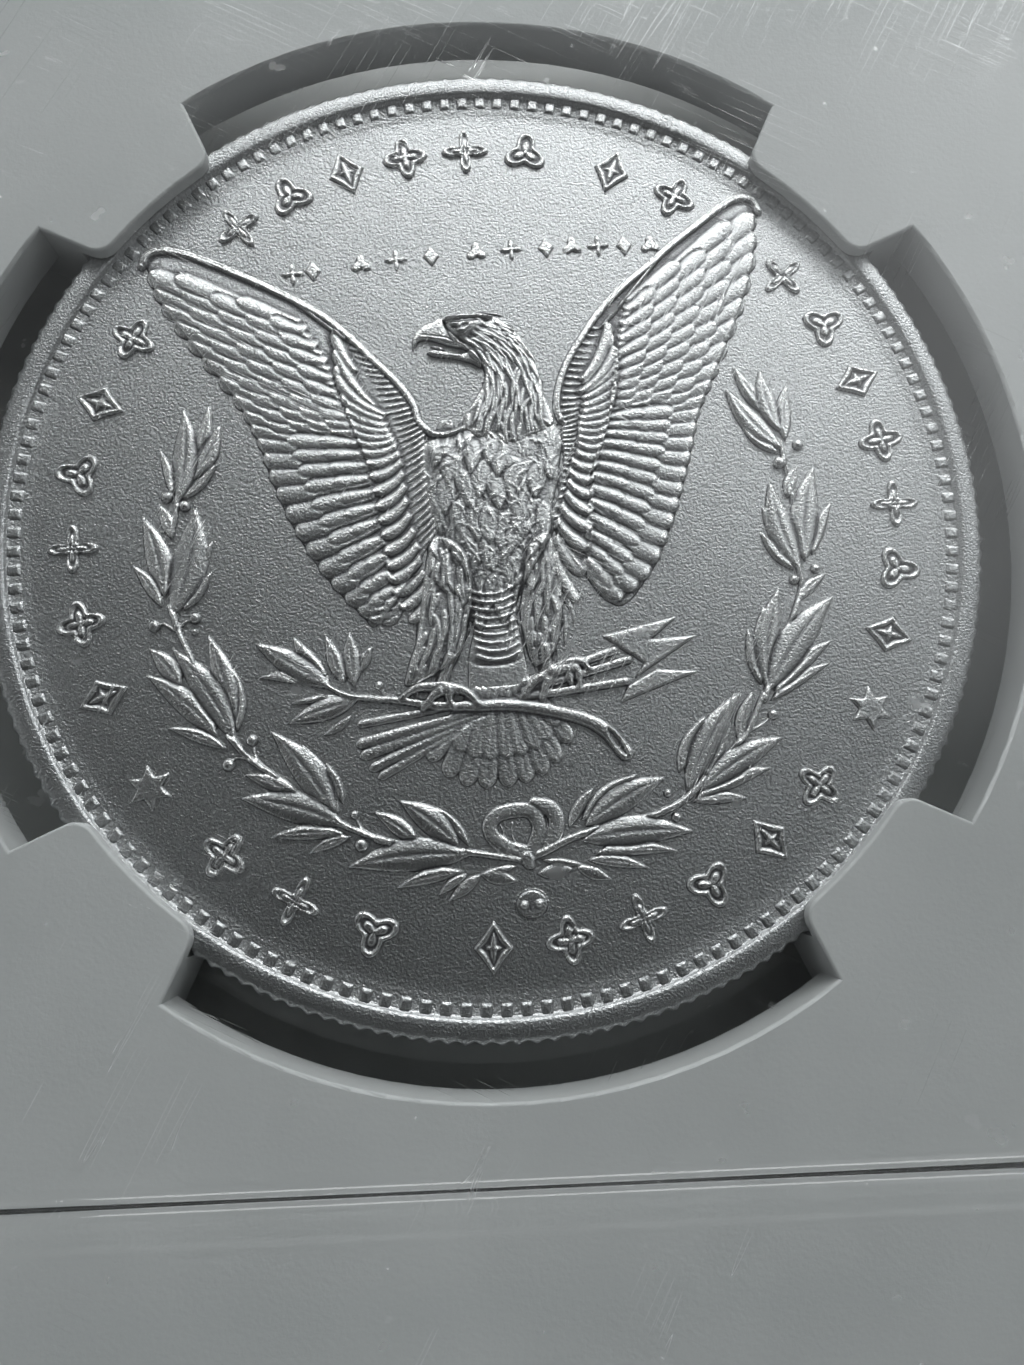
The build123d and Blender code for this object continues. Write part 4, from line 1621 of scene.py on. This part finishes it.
@dataclass(frozen=True)
class PrintedCard:
    """Label card: printed card with two frame lines and a woven band of fine waves."""

    centre_y: float = -0.0259
    half: tuple[float, float] = (0.02475, 0.01035)
    paper: tuple = (0.80, 0.80, 0.775, 1.0)
    ink: tuple = (0.035, 0.09, 0.21, 1.0)
    wash: tuple = (0.50, 0.60, 0.70, 1.0)

    def material(self, marks: SurfaceMarks) -> bpy.types.Material:
        """Build the finish: lines at set distances from the card's edge, waves where |y - a sin kx| is small.

        Args:
            marks: the shared node groups.

        Returns:
            The material.
        """
        material, sheet, shader = new_material("printed_card")
        grain = marks.grain_on(sheet, 6000.0)
        shifted = sheet.put("ShaderNodeMapping", {"Vector": sheet.object_coords(),
                                                  "Location": (0.0, -self.centre_y, 0.0)}).outputs[0]
        axes = sheet.put("ShaderNodeSeparateXYZ", {0: shifted}).outputs
        inset_x = sheet.math("SUBTRACT", self.half[0], sheet.math("ABSOLUTE", axes[0]))
        inset_y = sheet.math("SUBTRACT", self.half[1], sheet.math("ABSOLUTE", axes[1]))
        inset = sheet.math("MINIMUM", inset_x, inset_y)
        frame_line = sheet.math("MAXIMUM", self.line(sheet, inset, 0.0012, 0.00022),
                                self.line(sheet, inset, 0.0018, 0.00007))
        weave = None
        for turn in range(5):
            angle = sheet.math("MULTIPLY_ADD", axes[0], 2 * math.pi / 0.0086, turn * 2 * math.pi / 5)
            wave = sheet.math("MULTIPLY", sheet.math("SINE", angle), 0.0019)
            thread = self.line(sheet, sheet.math("SUBTRACT", axes[1], wave), 0.0, 0.00006)
            weave = thread if weave is None else sheet.math("MAXIMUM", weave, thread)
        middle = sheet.math("LESS_THAN", sheet.math("ABSOLUTE", axes[1]), 0.0045)
        inner = sheet.math("GREATER_THAN", inset, 0.0032)
        tinted = sheet.mix(sheet.math("MULTIPLY", middle, inner), self.paper, self.wash)
        woven = sheet.mix(sheet.math("MULTIPLY", weave, inner), tinted, self.ink)
        printed = sheet.mix(frame_line, woven, self.ink)
        fibre = sheet.mix(sheet.math("MULTIPLY", grain["Grain"], 0.12), printed, (0.7, 0.69, 0.66, 1.0),
                          "MULTIPLY")
        bump = sheet.put("ShaderNodeBump", {"Strength": 0.7, "Distance": 0.000005,
                                            "Height": grain["Grain"]})
        sheet.tree.links.new(fibre, shader.inputs["Base Color"])
        sheet.tree.links.new(sheet.span(grain["Drift"], 0, 1, 0.38, 0.5), shader.inputs["Roughness"])
        sheet.tree.links.new(bump.outputs[0], shader.inputs["Normal"])
        return material

    @staticmethod
    def line(sheet: NodeSheet, value: Given, at: float, half: float) -> bpy.types.NodeSocket:
        """One where a value is within half of at, else zero."""
        return sheet.math("LESS_THAN", sheet.math("ABSOLUTE", sheet.math("SUBTRACT", value, at)), half)


@dataclass(frozen=True)
class SealFoil:
    """Diffraction foil: silver with rings and rays of soft rainbow colour round its middle."""

    centre: tuple[float, float] = (0.0165, -0.0259)

    def material(self, marks: SurfaceMarks) -> bpy.types.Material:
        """Build the finish: hue turns with the distance and eight times with the angle from the middle.

        Args:
            marks: the shared node groups.

        Returns:
            The material.
        """
        material, sheet, shader = new_material("seal_foil")
        grain = marks.grain_on(sheet, 8000.0)
        shifted = sheet.put("ShaderNodeMapping", {"Vector": sheet.object_coords(),
                                                  "Location": (-self.centre[0], -self.centre[1],
                                                               0.0)}).outputs[0]
        axes = sheet.put("ShaderNodeSeparateXYZ", {0: shifted}).outputs
        far = sheet.math("SQRT", sheet.math("ADD", sheet.math("POWER", axes[0], 2.0),
                                            sheet.math("POWER", axes[1], 2.0)))
        angle = sheet.math("ARCTAN2", axes[1], axes[0])
        petals = sheet.math("SINE", sheet.math("MULTIPLY_ADD", angle, 8.0,
                                               sheet.math("MULTIPLY", far, 900.0)))
        rings = sheet.math("SINE", sheet.math("MULTIPLY", far, 7000.0))
        hue = sheet.math("FRACT", sheet.math("ADD", sheet.math("MULTIPLY", far, 150.0),
                                             sheet.math("MULTIPLY", petals, 0.12)))
        rainbow = sheet.put("ShaderNodeCombineColor", {0: hue, 1: 0.45, 2: 0.9}, mode="HSV").outputs[0]
        tone = sheet.span(petals, -1, 1, 0.25, 0.8)
        colour = sheet.mix(tone, (0.78, 0.78, 0.79, 1.0), rainbow)
        height = sheet.math("ADD", sheet.math("MULTIPLY", rings, 0.5), grain["Grain"])
        bump = sheet.put("ShaderNodeBump", {"Strength": 0.8, "Distance": 0.000006, "Height": height})
        sheet.tree.links.new(colour, shader.inputs["Base Color"])
        sheet.tree.links.new(sheet.span(petals, -1, 1, 0.16, 0.34), shader.inputs["Roughness"])
        sheet.tree.links.new(bump.outputs[0], shader.inputs["Normal"])
        shader.inputs["Metallic"].default_value = 1.0
        return material


# ---------------------------------------------------------------- sub-assemblies

@dataclass
class CoinBlank:
    """The coin without its designs: two fields, raised rims and a reeded edge, turned about its axis."""

    centre: tuple[float, float] = (0.0, 0.015)
    middle: float = 0.004
    half_field: float = 0.94           # from the middle to a field, mm
    rim_radius: float = 19.05
    reeds: int = 189
    reed_depth: float = 0.12
    steps_per_reed: int = 8

    def half_profile(self) -> list[tuple[float, float, float]]:
        """Radius, height over the field and share of the reeding, from the field out to the edge.

        Returns:
            One row for each corner of the profile, in millimetres.
        """
        return [
            (16.9, 0.0, 0.0), (17.2, 0.0, 0.0), (17.34, 0.012, 0.0), (17.44, 0.03, 0.0),
            (17.98, 0.035, 0.0),
            (18.05, 0.07, 0.0), (18.1, 0.17, 0.0), (18.15, 0.225, 0.0), (18.24, 0.25, 0.0),
            (18.42, 0.26, 0.0),
            (18.62, 0.255, 0.0), (18.76, 0.235, 0.1), (18.87, 0.19, 0.45), (18.96, 0.11, 0.8),
            (19.02, 0.0, 1.0), (self.rim_radius, -0.11, 1.0), (self.rim_radius, -0.45, 1.0),
        ]

    def build(self, material: bpy.types.Material) -> bpy.types.Object:
        """Carry the profile round: radius is R - depth * share * (0.5 + 0.5 cos(189 a)), both ends capped.

        Args:
            material: the coin's finish.

        Returns:
            The new object.
        """
        upper = self.half_profile()
        rows = [(r, -self.half_field - h, share) for r, h, share in upper]
        rows += [(r, self.half_field + h, share) for r, h, share in reversed(upper)]
        radius, height, share = np.array(rows).T[..., None]
        count = self.reeds * self.steps_per_reed
        angle = np.linspace(0, 2 * math.pi, count, endpoint=False)
        cut = self.reed_depth * (0.5 + 0.5 * np.cos(self.reeds * angle))
        around = radius - share * cut
        x = self.centre[0] + around * np.cos(angle) * MM
        y = self.centre[1] + around * np.sin(angle) * MM
        z = np.broadcast_to(self.middle + height * MM, x.shape)
        verts = np.stack([x, y, z], -1).reshape(-1, 3)
        faces = grid_faces(len(rows), count, wrap=True)
        last = (len(rows) - 1) * count
        caps = [list(range(count))[::-1], list(range(last, last + count))]
        return add_mesh("coin_blank", verts, faces + caps, COIN_BODY, material,
                        np.full(len(verts), PLAIN_METAL))


@dataclass
class BorderTeeth:
    """Ring of short square teeth inside the rim, each with softly rounded edges."""

    count: int = 156
    tooth_inner: float = 17.6
    half_width: float = 0.2
    soft: float = 0.12
    inner: float = 17.36
    outer: float = 18.09
    top: float = 0.1
    steps: int = 14
    rows: int = 14

    def build(self, name: str, face: Face) -> bpy.types.Object:
        """The ring as one closed piece: height is top * soft step of the distance inside a tooth's outline.

        Args:
            name: the piece's name.
            face: the side of the coin that it stands on.

        Returns:
            The new object.
        """
        columns = self.count * self.steps
        radius = np.linspace(self.outer, self.inner, self.rows)[:, None]
        angle = np.linspace(0, 2 * math.pi, columns, endpoint=False)[None, :]
        pitch = 2 * math.pi / self.count
        side = (np.mod(angle + pitch / 2, pitch) - pitch / 2) * radius
        within = np.minimum(self.half_width - np.abs(side), radius - self.tooth_inner)
        height = self.top * np.sqrt(soft_step(within / self.soft + 0.35))
        height[-1] = -0.05
        height[0] = np.minimum(height[0], 0.05)
        radius = np.vstack([[self.outer], radius, [self.inner]])
        height = np.vstack([np.full((1, columns), -0.2), height, np.full((1, columns), -0.2)])
        u, v = radius * np.cos(angle), radius * np.sin(angle)
        verts = face.place(u, v, height)
        rows = len(radius)
        faces = grid_faces(rows, columns, wrap=True)
        here = np.arange(columns)
        after = (here + 1) % columns
        bottom = (rows - 1) * columns
        faces += np.stack([bottom + here, bottom + after, after, here], -1).tolist()
        if face.up < 0:
            faces = [quad[::-1] for quad in faces]
        # painted shade: the mask darkens the feet of the teeth and the gaps between them towards the silver's
        # hollow colour, and gives the tooth tops a faint painted highlight
        mask = np.clip(0.2 + height / 0.25, 0, 1)
        return add_mesh(name, verts, faces, COIN_BODY, face.material, mask.ravel())


@dataclass
class Coin:
    """The struck coin that takes the plain solid's place."""

    centre: tuple[float, float] = (0.0, 0.015)
    turn: float = 4.8
    reverse_level: float = 0.00494
    obverse_level: float = 0.00306
    finish: FrostedSilver = FrostedSilver()

    def build(self, marks: SurfaceMarks) -> None:
        """Blank first, then the teeth and the designs of both sides.

        Args:
            marks: the shared node groups.
        """
        silver = self.finish.material(marks)
        blank = CoinBlank(self.centre).build(silver)
        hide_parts("coin")
        reverse = Face(self.centre, self.reverse_level, self.turn, 1, silver)
        obverse = Face(self.centre, self.obverse_level, self.turn, -1, silver)
        BorderTeeth().build("reverse_border_teeth", reverse)
        BorderTeeth(steps=8, rows=8).build("obverse_border_teeth", obverse)
        self.strike_reverse(reverse)
        design = Obverse()
        obverse.piece("obverse_rosette", [design.centre_piece()])
        obverse.piece("obverse_marks", design.stars())

    @staticmethod
    def strike_reverse(face: Face) -> None:
        """Eagle, branch and arrows, wreath, bow, marks and stars.

        Args:
            face: the side of the coin that is struck.
        """
        face.piece("eagle_left_wing", [LEFT_WING.build()])
        face.piece("eagle_right_wing", [RIGHT_WING.build()])
        face.piece("eagle_body", [EagleBody().build()])
        face.piece("eagle_head", [EagleHead().build()])
        face.piece("branch_and_arrows", [BranchAndArrows().build()])
        for name, sprigs in WREATH.items():
            face.piece(name, [sprig.build() for sprig in sprigs])
        face.piece("wreath_bow", [Bow().build()])
        legend = Legend()
        marks = legend.marks()
        upper_words = 14
        face.piece("legend_marks_left", marks[:upper_words])
        face.piece("legend_marks_right", marks[upper_words:])
        face.piece("inner_marks", legend.inner_row())
        face.piece("border_stars", legend.stars())
        face.piece("small_medallion", [legend.medallion()])


@dataclass
class Slab:
    """The case round the coin: the CAD nodes with their finishes."""

    upper: ClearPlastic = ClearPlastic()
    lower: ClearPlastic = ClearPlastic(name="clear_plastic_lower", shadow_tint=(0.5, 0.5, 0.5, 1.0))
    insert: SatinWhite = SatinWhite()
    card: PrintedCard = PrintedCard()
    seal: SealFoil = SealFoil()

    def dress(self, marks: SurfaceMarks) -> None:
        """Give each CAD node its finish.

        Args:
            marks: the shared node groups.
        """
        finishes = {
            ("rear_shell",): self.upper.material(marks),
            ("front_shell",): self.lower.material(marks),
            ("coin_core",): self.insert.material(marks),
            ("rear_label_card", "front_label_card"): self.card.material(marks),
            ("foil_seal",): self.seal.material(marks),
        }
        for nodes, material in finishes.items():
            for node in nodes:
                for slot in bpy.data.objects[node].material_slots:
                    slot.material = material
                LOG.info("%s: dressed in %s", node, material.name)


# ---------------------------------------------------------------- studio

@dataclass
class SoftBox:
    """A rectangular lamp that looks at the slab.

    Attributes:
        name: its name.
        place: where it stands, in metres.
        size: its two sides.
        watts: its power.
    """

    name: str
    place: tuple[float, float, float]
    size: tuple[float, float]
    watts: float

    def build(self) -> None:
        """Add the lamp, turned so that it looks at the middle of the coin."""
        lamp = bpy.data.lights.new(self.name, "AREA")
        lamp.shape = "RECTANGLE"
        lamp.size, lamp.size_y = self.size
        lamp.energy = self.watts
        holder = bpy.data.objects.new(self.name, lamp)
        holder.location = self.place
        aim = Vector((0.0, 0.015, 0.0)) - holder.location
        holder.rotation_euler = aim.to_track_quat("-Z", "Y").to_euler()
        bpy.context.scene.collection.objects.link(holder)


@dataclass
class Studio:
    """Floor, lamps, surroundings and camera.

    Attributes:
        lamps: the soft boxes.
        shade_axis: direction of the shade overhead.
        dark: brightness of the surroundings at the shade's middle.
        gain: how fast they brighten away from it.
        bright: their brightness at most.
        behind: share of it that the walls behind the coin's foot have.
        behind_span: from which to which Y of the direction that share gives way to the whole.
        glare_axis: direction of the brighter patch.
        glare: its brightness.
        glare_span: cosines to its axis where it starts and where it is full.
        camera_place: where the camera stands, in metres.
        camera_turn: its angles, in degrees.
        lens: its focal length, in millimetres.
        floor_reach: how far the floor goes each way, in metres.
    """

    lamps: tuple[SoftBox, ...] = (
        SoftBox("key_box", (0.06, 0.38, 0.245), (0.5, 0.12), 1.05),
        SoftBox("left_box", (-0.42, 0.05, 0.19), (0.12, 0.3), 0.09),
        SoftBox("front_strip", (0.05, -0.42, 0.15), (0.4, 0.08), 0.03),
    )
    shade_axis: tuple[float, float, float] = (-0.3, -0.25, 0.92)
    dark: float = 0.008
    gain: float = 0.7
    bright: float = 0.42
    behind: float = 0.3
    behind_span: tuple[float, float] = (-0.2, 0.6)
    glare_axis: tuple[float, float, float] = (0.52, 0.4, 0.76)
    glare: float = 0.9
    glare_span: tuple[float, float] = (0.93, 0.995)
    camera_place: tuple[float, float, float] = (-0.000991, 0.003488, 0.040473)
    camera_turn: tuple[float, float, float] = (8.814, -2.305, -1.689)
    lens: float = 25.17
    floor_reach: float = 3.0

    def build(self) -> None:
        """Set everything up."""
        bpy.context.scene.view_settings.view_transform = "Standard"
        self.floor()
        for lamp in self.lamps:
            lamp.build()
        self.surroundings()
        self.camera()

    def surroundings(self) -> None:
        """Soft walls all round that darken towards a shade overhead.

        With d = 1 - cos of the angle to the shade's axis, brightness is dark + gain * d^1.2, held at
        bright, and the walls behind have only a share of it. A brighter patch stands high on the right.
        """
        world = bpy.data.worlds.new("surroundings")
        world.use_nodes = True
        sheet = NodeSheet(world.node_tree)
        way = sheet.put("ShaderNodeTexCoord").outputs["Generated"]
        toward = sheet.put("ShaderNodeVectorMath", {0: way, 1: Vector(self.shade_axis).normalized()},
                           operation="DOT_PRODUCT").outputs["Value"]
        apart = sheet.math("POWER", sheet.math("MAXIMUM", sheet.math("SUBTRACT", 1.0, toward), 0.0), 1.2)
        ahead = sheet.put("ShaderNodeSeparateXYZ", {0: way}).outputs["Y"]
        share = sheet.span(ahead, *self.behind_span, self.behind, 1.0)
        level = sheet.math("MINIMUM", sheet.math("MULTIPLY_ADD", apart, self.gain, self.dark), self.bright)
        level = sheet.math("MULTIPLY", level, share)
        facing = sheet.put("ShaderNodeVectorMath", {0: way, 1: Vector(self.glare_axis).normalized()},
                           operation="DOT_PRODUCT").outputs["Value"]
        level = sheet.math("ADD", level, sheet.span(facing, *self.glare_span, 0.0, self.glare))
        background = world.node_tree.nodes["Background"]
        background.inputs["Color"].default_value = (0.96, 0.985, 1.0, 1.0)
        sheet.tree.links.new(level, background.inputs["Strength"])
        bpy.context.scene.world = world

    def floor(self) -> None:
        """Plain pale floor just under the slab's resting face."""
        reach = self.floor_reach
        level = -0.00005
        corners = [(-reach, -reach, level), (reach, -reach, level), (reach, reach, level),
                   (-reach, reach, level)]
        mesh = bpy.data.meshes.new("floor")
        mesh.from_pydata(corners, [], [(0, 1, 2, 3)])
        material, _, shader = new_material("pale_floor")
        shader.inputs["Base Color"].default_value = (0.72, 0.72, 0.71, 1.0)
        shader.inputs["Roughness"].default_value = 0.7
        mesh.materials.append(material)
        floor = bpy.data.objects.new("floor", mesh)
        bpy.context.scene.collection.objects.link(floor)

    def camera(self) -> None:
        """Camera close over the coin."""
        camera = bpy.data.cameras.new("camera")
        camera.lens = self.lens
        camera.clip_start = 0.001
        holder = bpy.data.objects.new("camera", camera)
        holder.location = self.camera_place
        holder.rotation_euler = Euler([math.radians(angle) for angle in self.camera_turn])
        bpy.context.scene.collection.objects.link(holder)
        bpy.context.scene.camera = holder


def main() -> None:
    """Studio, case and coin, in that order."""
    logging.basicConfig(level=logging.INFO, format="%(message)s")
    Studio().build()
    marks = SurfaceMarks()
    Slab().dress(marks)
    Coin().build(marks)


if __name__ == "__main__":
    main()
